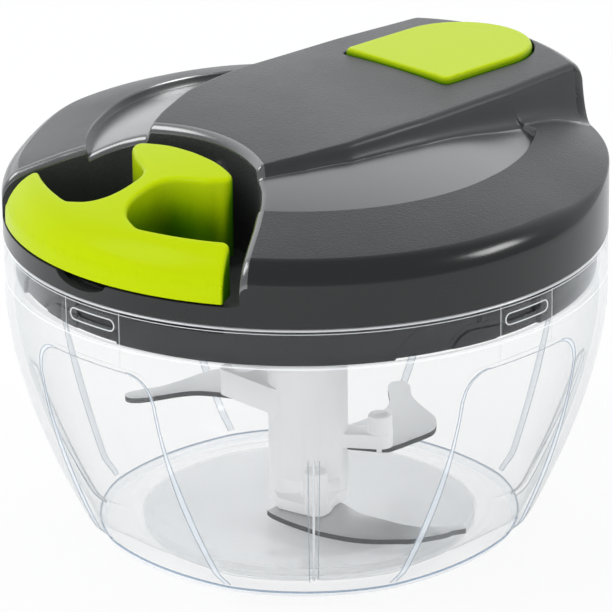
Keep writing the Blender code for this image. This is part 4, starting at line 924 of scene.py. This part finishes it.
def bowl_outer(turn, z):
    """Outer radius at a turn from the nearest panel's middle: round, pressed flat over each panel."""
    round_wall = wall_radius(z)
    half = panel_half(z)
    chord = np.sqrt(round_wall ** 2 - half ** 2)
    depth = round_wall - chord / np.cos(np.clip(turn, -0.7, 0.7))
    depth = (depth + np.sqrt(depth ** 2 + 0.02)) / 2
    aside = np.abs(round_wall * np.sin(turn))
    corner = np.clip(aside - (half - PANEL_CORNER), 0, PANEL_CORNER)
    edge = PANEL_TOP - (PANEL_CORNER - np.sqrt(PANEL_CORNER ** 2 - corner ** 2))
    seam = np.exp(-((np.abs(round_wall * turn) - 8.8) / 0.13) ** 2) * 0.22
    seam = seam * eased((z - 68.5) / 0.8) * eased((77.6 - z) / 0.8)
    wall = round_wall - depth * eased((edge - z) / 1.5 + 0.3) - seam
    return wall + (52.2 - wall) * 0.85 * eased((7 - z) / 7)


def bowl_inner(turn, z):
    """Inner radius: the wall's thickness, a thicker neck under the ledge, the ribs and the lugs."""
    slope = 0.54 * (np.maximum(BELLY - z, 0) / BELLY) ** 0.6
    neck = np.where(z < LEDGE, 2.1 * eased((z - 62.5) / 5.5), 0)
    thick = BOWL_WALL * np.sqrt(1 + slope ** 2) + neck
    radius = np.where(z >= LEDGE, COLLAR, bowl_outer(turn, z) - thick)
    rib = np.clip(1.25 - np.abs(radius * (turn - np.sign(turn) * math.pi / 4) - RIB_ASIDE), 0, 0.45) / 0.45
    radius = radius - 1.4 * rib * eased((43.2 - z) / 0.6)
    lug = np.clip(5.8 - np.abs(radius * turn), 0, 0.3) / 0.3
    lug = lug * eased((z - 76.3) / 0.2) * eased((77.7 - z) / 0.2)
    return radius - 0.95 * np.where(z >= LEDGE, lug, 0)


def bowl_turns(z):
    """Turns of the mesh columns over one panel at a height; they follow creases, seams and ribs."""
    z = min(z, 78.0)
    radius = float(wall_radius(z))
    crease = math.asin(float(panel_half(z)) / radius)
    middle = [s / radius for s in (0, 2.7, 5.45, 5.65, 5.85, 8.5, 8.66, 8.8, 8.94, 9.1, 10.6)]
    fold = [crease + s / radius for s in (-2.4, -1.4, -0.8, -0.42, -0.18, 0, 0.18, 0.42, 0.8, 1.4, 2.4)]
    rib = [s / radius for s in (-3, -1.9, -1.3, -1.05, -0.85, -0.4, 0, 0.4, 0.85, 1.05, 1.3, 1.9, 3)]
    aside = RIB_ASIDE / radius
    before = [-math.pi / 4 + aside + s for s in rib[6:]]
    after = [math.pi / 4 + aside + s for s in rib[:6]]
    flat = list(np.linspace(middle[-1], fold[0], 6)[1:-1])
    half = middle + flat + fold
    left = list(np.linspace(before[-1], -fold[-1], 9)[1:-1])
    right = list(np.linspace(fold[-1], after[0], 9)[1:-1])
    return before + left + [-t for t in reversed(half[1:])] + half + right + after


def bowl_rows():
    """Rows of the bowl's skin, from the hole in the foot out, up, over the rim and back inside."""
    levels = [*np.linspace(2.6, 52, 26), 54, 55, 56, 57, 58, 59, 59.8, 60.5, 61, 61.5, 62, 62.4, 62.8, 63.3,
              64.0, 65.5, 67.2, 68.4, 68.8, 69.3, 71, 73, 75, 76.6, 77.1, 77.6]
    rows = [("flat", 1.3, r) for r in (2.2, 20, 42.4)] + [("flat", 0.0, r) for r in (42.4, 47, 50)]
    rows += [("outer", 1.3 * (1 - math.cos(t)), 1.3 * (1 - math.sin(t))) for t in np.linspace(0, QUARTER, 5)]
    rows += [("outer", z, 0.0) for z in levels]
    rows += [("outer", 78.0, 0.0), ("outer", 78.3, 0.12), ("outer", 78.45, 0.35), ("outer", 78.5, 0.7),
             ("collar", 78.5, -0.6), ("collar", 78.4, -0.2), ("collar", 78.1, 0.0)]
    rows += [("inner", z, 0.0) for z in (77.72, 77.6, 77.5, 76.5, 76.4, 76.28, 75, 72, LEDGE + 0.25)]
    rows += [("collar", LEDGE + 0.02, 0.12), ("neck", LEDGE - 0.1, 0.9), ("neck", LEDGE - 0.25, 0.15),
             ("inner", LEDGE - 0.6, 0.0)]
    rows += [("inner", z, 0.0) for z in reversed(levels) if 7.0 < z < LEDGE - 0.7]
    rows += [("inner", BOWL_FLOOR + 4 * (1 - math.sin(t)), 4 * (1 - math.cos(t)))
             for t in np.linspace(0, QUARTER, 7)]
    for r in (46.0, 41.8):
        rows += [("flat", BOWL_FLOOR + rise, r + step)
                 for rise, step in ((0, 0.4), (0.15, 0.2), (0.15, -0.2), (0, -0.4))]
    return rows + [("flat", BOWL_FLOOR, 24), ("flat", BOWL_FLOOR, 2.2)]


def make_bowl():
    """The clear bowl with its four windows."""
    points = []
    rings = []
    for kind, z, inset in bowl_rows():
        turns = np.array(bowl_turns(z))
        if kind == "flat":
            radius = 0 * turns + inset
        elif kind == "outer":
            radius = bowl_outer(turns, z) - inset
        elif kind == "collar":
            radius = 0 * turns + COLLAR - inset
        elif kind == "neck":
            radius = bowl_inner(turns, LEDGE - 0.6) + inset
        else:
            radius = bowl_inner(turns, z) - inset
        first = len(points)
        points += [around(r, turn + math.radians(PANEL_MIDDLE + 90 * k), z)
                   for k in range(4) for turn, r in zip(turns, radius)]
        rings.append(range(first, len(points)))
    shares = []
    for (kind, z, inset), (next_kind, top, _) in zip(bowl_rows(), bowl_rows()[1:] + bowl_rows()[:1]):
        rim = z >= 77.99 and kind in ("outer", "collar") and top >= 77.99
        ledge = kind == "outer" and next_kind == "outer" and z > 68.3 and top < 68.9
        foot = kind == "outer" and next_kind == "outer" and top <= 1.31
        # the rim and ledge rows take the painted highlight finish, the foot's rounded rows the glowing
        # painted highlight bands
        plain = 1 if rim or ledge else 2 if z >= 68.9 and top >= LEDGE + 0.2 else 3 if foot else 0
        shares += [plain] * len(rings[0])
    finishes = (CLEAR, CLEAR_EDGE_PAINTED_HIGHLIGHT, CLEAR_COLLAR, CLEAR_FOLD_PAINTED_HIGHLIGHT)
    bowl = tidied(mesh_piece("bowl_clear", points, wrapped(rings), finishes, shares), 50)
    outline = arc(1.4, 0, 180, 12, (5.9, WINDOW_LEVEL)) + arc(1.4, 180, 360, 12, (-5.9, WINDOW_LEVEL))
    places = [Matrix.Rotation(math.radians(window), 4, "Z") @ Matrix.Rotation(QUARTER, 4, "X")
              for window in WINDOWS]
    bowl = carved(bowl, [prism("window", outline, 70, 78, place) for place in places], sharp=50)
    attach(bowl, "bowl_base")
    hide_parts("bowl")


make_bowl()


def swept(name, paths, radius, finish, copies=1, sides=8):
    """Round lines along paths, made and repeated round the axis by a node tree, as a plain mesh."""
    points = []
    edges = []
    for path in paths:
        first = len(points)
        points += [(x * MM, y * MM, z * MM) for x, y, z in path]
        edges += [(first + k, first + k + 1) for k in range(len(path) - 1)]
        if path[0] == path[-1]:
            points.pop()
            edges[-1] = (edges[-1][0], first)
    mesh = bpy.data.meshes.new(name)
    mesh.from_pydata(points, edges, [])
    item = linked(name, mesh)
    tree = bpy.data.node_groups.new(name + "_lines", "GeometryNodeTree")
    for way in ("OUTPUT", "INPUT"):
        tree.interface.new_socket("Geometry", in_out=way, socket_type="NodeSocketGeometry")
    sizes = {}
    for label, kind, value in (("Line Radius", "Float", radius * MM), ("Sides", "Int", sides),
                               ("Copies", "Int", copies)):
        socket = tree.interface.new_socket(label, in_out="INPUT", socket_type="NodeSocket" + kind)
        sizes[socket.identifier] = value

    nodes = Nodes(tree, "NodeGroupOutput")
    given = {socket.name: Sum(nodes, socket) for socket in tree.nodes.new("NodeGroupInput").outputs}

    def add(kind, inputs):
        return nodes.node("GeometryNode" + kind, {}, inputs)

    profile = add("CurvePrimitiveCircle", {"Resolution": given["Sides"], "Radius": given["Line Radius"]})
    tube = add("CurveToMesh", {"Curve": add("MeshToCurve", {"Mesh": given["Geometry"]}),
                               "Profile Curve": profile, "Fill Caps": True})
    turn = add("InputIndex", {}) * (math.tau / given["Copies"])
    repeated = add("InstanceOnPoints", {"Points": add("Points", {"Count": given["Copies"]}), "Instance": tube,
                                        "Rotation": nodes.node("CombineXYZ", {}, {"Z": turn})})
    plain = add("RealizeInstances", {0: repeated})
    nodes.plug(nodes.output.inputs["Geometry"], add("SetMaterial", {"Geometry": plain, "Material": finish}))
    modifier = item.modifiers.new("lines", "NODES")
    modifier.node_group = tree
    for identifier, value in sizes.items():
        modifier[identifier] = value
    frozen(item)
    if not item.data.materials:
        item.data.materials.append(finish)
    return tidied(item, 60)


def on_wall(path, radius, middle):
    """Lays a flat path of (sideways, height) points on the bowl's wall round a turn."""
    return [around(radius, math.radians(middle) + s / radius, z) for s, z in path]


def make_window_frames():
    """Rounded rims of the four windows and the fine seams beside them, real features drawn as painted
    highlight lines.
    """
    half = arc(1.45, 0, 180, 10, (5.9, WINDOW_LEVEL))
    outline = half + [(-s, z) for s, z in reversed(half)]
    outline = resampled(outline, 1.0) + outline[:1]
    seams = [[(s, z) for z in np.linspace(64.0, 77.7, 12)] for s in (-9.0, 9.0)]
    frames = swept("window_frames", [on_wall(outline, 74.78, turn) for turn in WINDOWS], 0.17, CLEAR_EDGE_PAINTED_HIGHLIGHT)
    seams = [on_wall(seam, 74.9, turn) for turn in WINDOWS for seam in seams]
    lines = swept("window_seams", seams, 0.08, CLEAR_EDGE_PAINTED_HIGHLIGHT, 1, 6)
    for item in (frames, lines):
        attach(item, "bowl_base")


make_window_frames()


def fold_path(side, offset):
    """(turn, height) along a flat's fold and round its upper corner; offset 1 or -1 gives its two borders."""
    path = []
    for z in np.linspace(2.6, PANEL_TOP - PANEL_CORNER, 44).tolist():
        aside = offset * (0.4 + 0.8 * float(eased((50 - z) / 26)))
        path.append((side * (math.asin(panel_half(z) / wall_radius(z)) + aside / RIM), z))
    half = float(panel_half(60)) - PANEL_CORNER
    reach = PANEL_CORNER + 0.4 * offset
    low = PANEL_TOP - PANEL_CORNER
    for t in np.linspace(0, QUARTER, 12)[1:]:
        path.append((side * math.asin((half + reach * math.cos(t)) / RIM), low + reach * math.sin(t)))
    return path


def wall_place(turn, z, depth):
    """A point on the bowl's wall, a depth inside it, round the first flat's middle."""
    radius = float(bowl_outer(turn, z)) - depth
    return around(radius, turn + math.radians(PANEL_MIDDLE), z)


def quarters(points):
    """The same points at each of the four flats."""
    turns = ((1, 0), (0, 1), (-1, 0), (0, -1))
    return [[(x * c - y * s, x * s + y * c, z) for x, y, z in points] for c, s in turns]


def make_bands():
    """Painted highlight: glowing bright bands in the wall along the folds of the flats, narrower towards the
    top.
    """
    points = []
    faces = []
    for side in (-1, 1):
        for ring in quarters([p for near, far in zip(fold_path(side, -1), fold_path(side, 1))
                              for p in (wall_place(*near, 0.06), wall_place(*far, 0.06),
                                        wall_place(*far, 0.3), wall_place(*near, 0.3))]):
            first = len(points)
            points += ring
            faces += [(first + 3, first + 2, first + 1, first), tuple(range(len(points) - 4, len(points)))]
            for k in range(first, len(points) - 4, 4):
                faces += [(k + i, k + (i + 1) % 4, k + 4 + (i + 1) % 4, k + 4 + i) for i in range(4)]
    return tidied(mesh_piece("fold_bands", points, faces, (CLEAR_FOLD_PAINTED_HIGHLIGHT,)))


def make_crease_lines():
    """Fine lines beside the folds, the ribs, the rim and the foot, as light draws them in clear plastic."""
    dark = [[wall_place(*p, 0.02) for p in fold_path(side, offset)] for side in (-1, 1) for offset in (-1, 1)]
    top = [(t, 62.6) for t in np.linspace(-0.17, 0.17, 9)]
    dark.append([wall_place(*p, 0.1) for p in top])
    bright = []
    for offset in (-1.3, 0.0, 1.3):
        path = []
        for z in np.linspace(4.2, 43.1, 24):
            spot = math.pi / 4 + (RIB_ASIDE + offset) / 66
            radius = float(bowl_inner(spot, z)) - 0.05
            path.append(around(radius, spot + math.radians(PANEL_MIDDLE), z))
        (dark if offset else bright).append(path)
    turns = np.linspace(-math.pi / 4, math.pi / 4, 40)
    foot = [wall_place(t, 1.6, 0.05) for t in turns]
    rim = [around(74.85, t, 77.3) for t in turns]
    return [swept(name, paths, radius, finish, 4, 6) for name, paths, radius, finish in (
        ("fold_lines", dark, 0.11, CLEAR_LINE_PAINTED_SHADE), ("rib_lines", bright, 0.32, CLEAR_EDGE_PAINTED_HIGHLIGHT),
        ("foot_line", [foot], 0.26, CLEAR_FOOT_PAINTED_SHADE), ("rim_line", [rim], 0.09, CLEAR_EDGE_PAINTED_HIGHLIGHT))]


for item in (make_bands(), *make_crease_lines()):
    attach(item, "bowl_base")


# Cover under the lid

SKIRT = 72.2
GROOVE = [(92.0, 69.0), (93.4, 70.6), (94.8, 71.9), (97.0, 72.9), (99.8, 73.0), (104.4, 72.6), (109.0, 72.3)]


def cover_edge(step):
    """Height of the skirt's lower edge; step counts degrees from a window of the bowl."""
    return float(np.interp(step, [0, 61.9, 62.6, 72.5, 74.0, 90], [68.35, 68.35, 69.1, 69.1, 68.5, 68.35]))


def cover_radius(step, z):
    """Outer radius of the skirt: slanted plate, curved groove, lanes that the lugs run in, a rib."""
    border = np.interp(step, [61.6, 62.1, 65.9, 71.1, 75.2, 88], [69.0, 71.0, 75.4, 77.3, 77.5, 77.6])
    plate = eased((step - 61.6) / 0.4) * eased((border - z) / 0.25 + 0.5) * eased((87.5 - step) / 0.6)
    groove = eased((0.95 - distance(step * 1.26, z, GROOVE, False)) / 0.25) * eased((87.0 - step) / 0.6)
    rib = eased((1.3 - np.abs(step - 80.4)) / 0.7) * eased((z - 73.9) / 0.3) * eased((77.2 - z) / 0.3)
    aside = np.minimum(step, 90 - step)
    lane = eased((5.9 - aside) / 0.3) * eased((78.1 - z) / 0.1) * (1 - eased((71.6 - z) / 0.2) / 3)
    run = eased((29.2 - step) / 0.3) * eased((78.1 - z) / 0.1) * eased((z - 75.8) / 0.1)
    lanes = 1.5 * np.maximum(lane, run)
    return SKIRT - np.maximum(lanes, np.maximum(0.6 * plate * (1 - rib), 1.15 * groove)) + 0.45 * rib


def make_cover():
    """The dark cover with its skirt, and the rubber seal under it."""
    steps = []
    for k in range(4):
        for start, end, gap in ((0, 8, 0.25), (8, 28, 2.0), (28, 30, 0.2), (30, 60, 2.5), (60, 90, 0.2)):
            steps += [(float(s), math.radians(s + 90 * k + PANEL_MIDDLE)) for s in np.arange(start, end, gap)]
    levels = np.array([*np.arange(68.7, 77.6, 0.2), 77.95, 78.05, 78.15, 78.6, 78.9])
    points = []
    rings = []
    for step, turn in steps:
        low = cover_edge(step)
        column = [(6.1, 71.2), (11, 71.2), (11, 76.8), (69.8, 76.8), (69.8, max(71.3, low)),
                  (70.9, max(71.2, low)), (70.9, low)]
        heights = np.maximum(levels, low + 0.15)
        radii = cover_radius(step + 0 * heights, heights)
        column += [(float(radii[0]) - 0.15, low)]
        column += [(float(r), float(z) + 0.001 * n) for n, (r, z) in enumerate(zip(radii, heights))]
        column += [(72.0, 79.0), (6.1, 79.0)]
        rings.append(range(len(points), len(points) + len(column)))
        points += [around(r, turn, z) for r, z in column]
    cover = tidied(mesh_piece("cover_skirt", points, wrapped(rings), (DARK,)), 35)
    gap = [(-4.5, 64), (4.5, 64), (4.5, 74), (-4.5, 74)]
    cover = carved(cover, [prism("latch_gap", gap, 72.2, 81)], sharp=35)
    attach(cover, "lid")
    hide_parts("lower_cover")
    profile = [(69.2, 68.4), (69.5, 68.2), (70.5, 68.2), (70.8, 68.4), (70.8, 71.0), (70.6, 71.15),
               (69.3, 71.15), (69.2, 71.0)]
    seal = lathe("seal_ring_soft", profile, 128, (0, 0), (RUBBER,))
    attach(seal, "seal_ring")
    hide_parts("lid_seal")


make_cover()


# Blade unit

def placed(points, degrees, shift=(0, 0)):
    """Plan points turned from +X and moved."""
    c, s = math.cos(math.radians(degrees)), math.sin(math.radians(degrees))
    return [(shift[0] + x * c - y * s, shift[1] + x * s + y * c) for x, y in points]


LOW_ARM = -36.5  # degrees from +X


def make_hub():
    """The white upright with its three arms and their pegs."""
    profile = [(0, 3.3), (8.6, 3.3), (9.6, 3.8), (10.05, 5.0), (10.05, 43.5), (10.2, 44.2), (10.2, 67.4),
               (9.9, 68.3), (9.2, 68.9), (5.2, 69.0), (4.8, 68.6), (4.8, 56.0), (0, 56.0)]
    hub = lathe("blade_hub_white", profile, 96, (0, 0), (HUB_WHITE_PAINTED_GLOW,))
    adds = []
    cuts = [lathe("well", [(0, 2.0), (3.8, 2.0), (3.8, 15.3), (0, 15.3)], 32)]
    block = [(0, -9.6, 0), (9.6, -8.6, 1.5), (14.6, -2.4, 2), (14.9, 3.6, 2), (9.8, 5.6, 2),
             (5.4, 9.0, 1.5), (0, 9.6, 0)]
    adds.append(prism("block", placed(softened(block), LOW_ARM), 5.75, 8.6))
    web = [(8, -1.7), (13.4, -1.7), (13.4, 2.6), (8, 2.6)]
    adds.append(prism("web", placed(web, LOW_ARM), 6.0, 15.8))
    peg_foot = placed([(13.4, 0.6)], LOW_ARM)[0]
    peg = [(0, 5.75), (2.9, 5.75), (2.9, 16.4), (2.75, 16.9), (2.3, 17.2), (0, 17.2)]
    adds.append(lathe("peg", peg, 40, peg_foot))
    for across in (-5.2, 5.6):
        niche = [(6.9, across - 2.3), (12, across - 2.9), (12, across + 2.9), (6.9, across + 2.3)]
        cuts.append(prism("niche", placed(niche, LOW_ARM), 8.6, 12.6))
    narrow = [(0, -4.2, 0), (9, -3.5, 0), (21.6, -3.2, 3.0), (21.6, 3.2, 3.0), (9, 3.5, 0), (0, 4.2, 0)]
    broad = [(0, -5.2, 0), (14, -4.5, 0), (24, -3.6, 3), (24, 3.2, 2.5), (6, 9.2, 0), (0, 9.6, 0)]
    for degrees, low, high, tall, arm in ((37.5, 19.95, 23.6, 28.4, narrow), (200, 29.45, 36.4, 39.6, broad)):
        adds.append(prism("arm", placed(softened(arm, 10), degrees), low, high))
        foot = placed([(18.4, 0)], degrees)[0]
        round_peg = [(0, low + 1), (3.15, low + 1), (3.1, tall - 0.7), (2.9, tall - 0.2), (2.5, tall),
                     (0, tall)]
        adds.append(lathe("peg", round_peg, 40, foot))
        dimple = [(0, tall - 0.7), (1.9, tall - 0.7), (2.1, tall + 1), (0, tall + 1)]
        cuts.append(lathe("dimple", dimple, 32, foot))
        rivet = [(0, low - 1.5), (1.5, low - 1.5), (1.5, low + 1), (0, low + 1)]
        adds.append(lathe("rivet", rivet, 20, foot))
    hub = carved(hub, cuts, adds, 35)
    bevel = hub.modifiers.new("softer edges", "BEVEL")
    bevel.width = 0.35 * MM
    bevel.segments = 2
    bevel.angle_limit = math.radians(50)
    tidied(frozen(hub), 35)
    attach(hub, "blade_unit")
    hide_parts("blade_hub")


make_hub()

SICKLE = [
    (2.8, -10.5), (4.0, -15.0), (5.4, -19.4), (8.3, -20.9), (13.2, -22.4), (20, -24.2), (24, -23.6),
    (28.7, -21.0), (31.7, -17.6), (34.4, -13.9), (37.5, -10.2), (40.0, -7.8), (43.9, -5.4), (46.2, -3.6),
    (47.3, -1.6), (46.6, 0.3), (44.8, 1.0), (41.9, 0.2), (37.0, -2.8), (33.3, -5.0), (28.5, -6.4),
    (20, -5.4), (14, -3.4)]
LOW_SICKLE = [
    (-3.8, -14.6), (-1.5, -16.0), (4.0, -17.9), (9.8, -19.2), (14.7, -20.0), (22.7, -19.7), (28.6, -18.0),
    (33.8, -15.2), (37.2, -13.1), (42.3, -6.7), (43.4, -3.8), (45.5, -1.0), (42.7, 0.1), (42.0, -1.2),
    (35.3, -5.4), (30.4, -6.3), (25.6, -6.0), (20.3, -5.5), (16.6, -4.6), (12.2, -2.4)]
BLADE_THICK = 1.4


def make_blade(name, node, degrees, low, corners):
    """Sickle blade: a flat plate with slightly softened edges and painted shade on its cut sides."""
    outline = curved(corners, 5)
    heel = [(9.4 * math.cos(a), 9.4 * math.sin(a)) for a in np.radians(np.arange(-8, 86, 8))]
    loop = resampled(outline + heel, 1.0)
    loop = [(round(x, 4), round(y, 4)) for x, y in loop]

    def top(x, y):
        return BLADE_THICK - shoulder(distance(x, y, loop), 0.15) * 0.6

    points = lattice(np.arange(-5, 50, 2.0), np.arange(-26, 14, 2.0)) + echoes(loop, (0.15,))
    blade = raised(name, [loop], [], within(points, loop, 0.1), top, 0.0, (BLADE_STEEL, BLADE_EDGE_PAINTED_SHADE), None, 0,
                   gap=0.3, sharp=30)
    # the upright cut sides take the painted shade finish
    for face in blade.data.polygons:
        if abs(face.normal.z) < 0.4:
            face.material_index = 1
    turn = Matrix.Translation((0, 0, low * MM)) @ Matrix.Rotation(math.radians(degrees), 4, "Z")
    blade.data.transform(turn)
    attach(blade, "blade_unit")
    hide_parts(node)


make_blade("blade_low", "lower_blade", 18.5, 4.15, LOW_SICKLE)
make_blade("blade_mid", "middle_blade", 108.5, 18.35, SICKLE)
make_blade("blade_high", "upper_blade", 218.5, 27.85, SICKLE)


# Cord

def cord_path():
    """Middle line of the cord: half a turn on the drum, then straight through the eyelet to the handle."""
    radius, gate = 14.9, 24.8  # the drum's radius and the eyelet's distance
    end = math.acos(radius / gate)
    path = [around(radius, end + turn, CORD_LEVEL) for turn in np.linspace(math.pi, 0, 25)]
    x, y = path[-1][:2]
    path += [(x * (1 - s), y - (gate + y) * s, CORD_LEVEL) for s in (0.25, 0.5, 0.75, 0.93)]
    return path + [(0, -gate - s, CORD_LEVEL) for s in np.arange(0.8, 13.2, 1.2)]


def make_cord():
    """Eight strands that wind both ways round a core."""
    middle = np.array(cord_path())
    lengths = np.concatenate([[0], np.cumsum(np.linalg.norm(np.diff(middle, axis=0), axis=1))])
    fine = np.arange(0, lengths[-1], 0.3)
    spots = np.stack([np.interp(fine, lengths, middle[:, i]) for i in range(3)], 1)
    ahead = np.gradient(spots, axis=0)
    ahead /= np.linalg.norm(ahead, axis=1)[:, None]
    side = np.stack([ahead[:, 1], -ahead[:, 0], 0 * fine], 1)
    strands = []
    for k in range(8):
        turn = (1 if k % 2 else -1) * fine / 3.4 * math.tau + k * math.tau / 8
        reach = 0.56 + 0.05 * np.cos(4 * turn + k)
        line = spots + reach[:, None] * np.cos(turn)[:, None] * side
        line[:, 2] += reach * np.sin(turn)
        strands.append([tuple(p) for p in line.tolist()])
    cord = swept("pull_cord", strands, 0.2, CORD, 1, 6)
    core = swept("pull_cord_core", [[tuple(p) for p in spots.tolist()]], 0.52, CORD, 1, 10)
    for piece in (cord, core):
        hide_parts("cord_lead")
        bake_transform(piece)


make_cord()


# Springs

def make_springs():
    """The two coil springs behind the button and the latch."""
    upright = [(x, STEM[1] + y, 104.3 + 3.6 * share)
               for share in np.linspace(0, 1, 65) for x, y in [around(4.6, 2 * math.tau * share)]]
    level = [(x, 28.0 + 14.3 * share, 85.5 - y)
             for share in np.linspace(0, 1, 161) for x, y in [around(2.3, 5 * math.tau * share)]]
    for node, path, joint, axis, anchor, keep in (
            ("button_spring", upright, "button_press", (0, 0, 1), (0, 0.0545, 0.1039), 0.5),
            ("latch_spring", level, "latch_draw", (0, 1, 0), (0, 0.028, 0.0855), 0.84)):
        spring = swept(node + "_coil", [path], 0.4, BRIGHT_STEEL, 1, 10)
        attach(spring, "lid")
        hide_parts(node)
        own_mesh(spring)


make_springs()


# Light and floor

def area_light(name, spot, aim_height, size, watts):
    """A rectangular lamp at a spot in metres that points at the object's axis at a height."""
    data = bpy.data.lights.new(name, "AREA")
    data.shape = "RECTANGLE"
    data.size, data.size_y = size
    data.energy = watts
    item = linked(name, data)
    item.location = spot
    aim = Vector((0, 0, aim_height)) - Vector(spot)
    item.rotation_euler = aim.to_track_quat("-Z", "Y").to_euler()
    return item


ROOM_DIM = 0.45
ROOM_BRIGHT = 1.6
BRIGHT_SIDE = (-0.749, 0.663, 0)
ROOM_TINT = (0.96, 0.98, 1.0)
FLOOR_GLOW = 0.88
FLOOR_HALF = 3000
FLOOR_TOP = -0.4


def seen_directly(nodes):
    """1 for rays from the camera, also those that come through clear matter, else 0."""
    through = nodes.node("LightPath", {}, {}, "Is Transmission Ray")
    return nodes.node("LightPath", {}, {}, "Is Camera Ray").math("MAXIMUM", through)


def make_world():
    """White where it is seen; as a light, a soft room that is brighter on one side."""
    world = bpy.data.worlds.new("studio")
    bpy.context.scene.world = world
    world.use_nodes = True
    nodes = Nodes(world.node_tree, "ShaderNodeOutputWorld")
    way = nodes.node("TexCoord", {}, {}, "Generated")
    behind = nodes.node("VectorMath", {"operation": "DOT_PRODUCT"}, {0: way, 1: BRIGHT_SIDE}, "Value")
    level = nodes.node("MapRange", {"interpolation_type": "SMOOTHSTEP"},
                       {"Value": behind, "From Max": 0.95, "To Min": ROOM_DIM, "To Max": ROOM_BRIGHT})
    room = nodes.node("Background", {}, {0: ROOM_TINT, 1: level})
    white = nodes.node("Background", {}, {0: (1, 1, 1), 1: 1.0})
    mix = nodes.node("MixShader", {}, {0: seen_directly(nodes), 1: room, 2: white})
    nodes.plug(nodes.output.inputs[0], mix)


def make_floor():
    """Pale floor that keeps the object's shadow and otherwise fades into the white behind it."""
    finish = Finish("pale_floor", Base_Color=(0.94, 0.94, 0.94), Roughness=0.9)
    plain = Sum(finish, finish.principled.outputs[0])
    glow = finish.node("Emission", {}, {})
    mix = finish.node("MixShader", {}, {0: seen_directly(finish) * FLOOR_GLOW, 1: plain, 2: glow})
    finish.plug(finish.output.inputs[0], mix)
    corners = [(x * FLOOR_HALF, y * FLOOR_HALF, FLOOR_TOP) for x, y in ((-1, -1), (1, -1), (1, 1), (-1, 1))]
    item = mesh_piece("floor", corners, [(0, 1, 2, 3)], (finish.material,))


make_world()
make_floor()
area_light("key", (-0.5, -0.9, 1.1), 0.08, (0.8, 0.8), 8.7)
area_light("side", (1.02, 0.81, 0.87), 0.08, (0.5, 0.32), 7)
fill = area_light("fill", (0.75, -0.95, 0.24), 0.04, (1.2, 0.36), 4.2)
fill.visible_glossy = False


# Finishes of the nodes that keep their shape

KEPT = (
    (PAD_GREY_PAINTED_GLOW, "base_pad"),
    (BRASS, "hub_bush", "shaft_bush", "top_bush"),
    (CORD, "cord_knot", "cord_winding"),
    (WHITE, "cord_drum", "lock_latch"),
    (DARK, "spring_cup"),
    (BRIGHT_STEEL, "pivot_pin", "cover_screw_1", "cover_screw_2", "cover_screw_3", "cover_screw_4",
     "cord_eyelet", "drive_shaft", "ratchet_wheel", "clutch_pawl_1", "clutch_pawl_2", "return_spring"),
)
for finish, *names in KEPT:
    for node in names:
        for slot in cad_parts[node].material_slots:
            slot.material = finish

bpy.context.scene.view_settings.view_transform = "Standard"
bpy.context.view_layer.update()
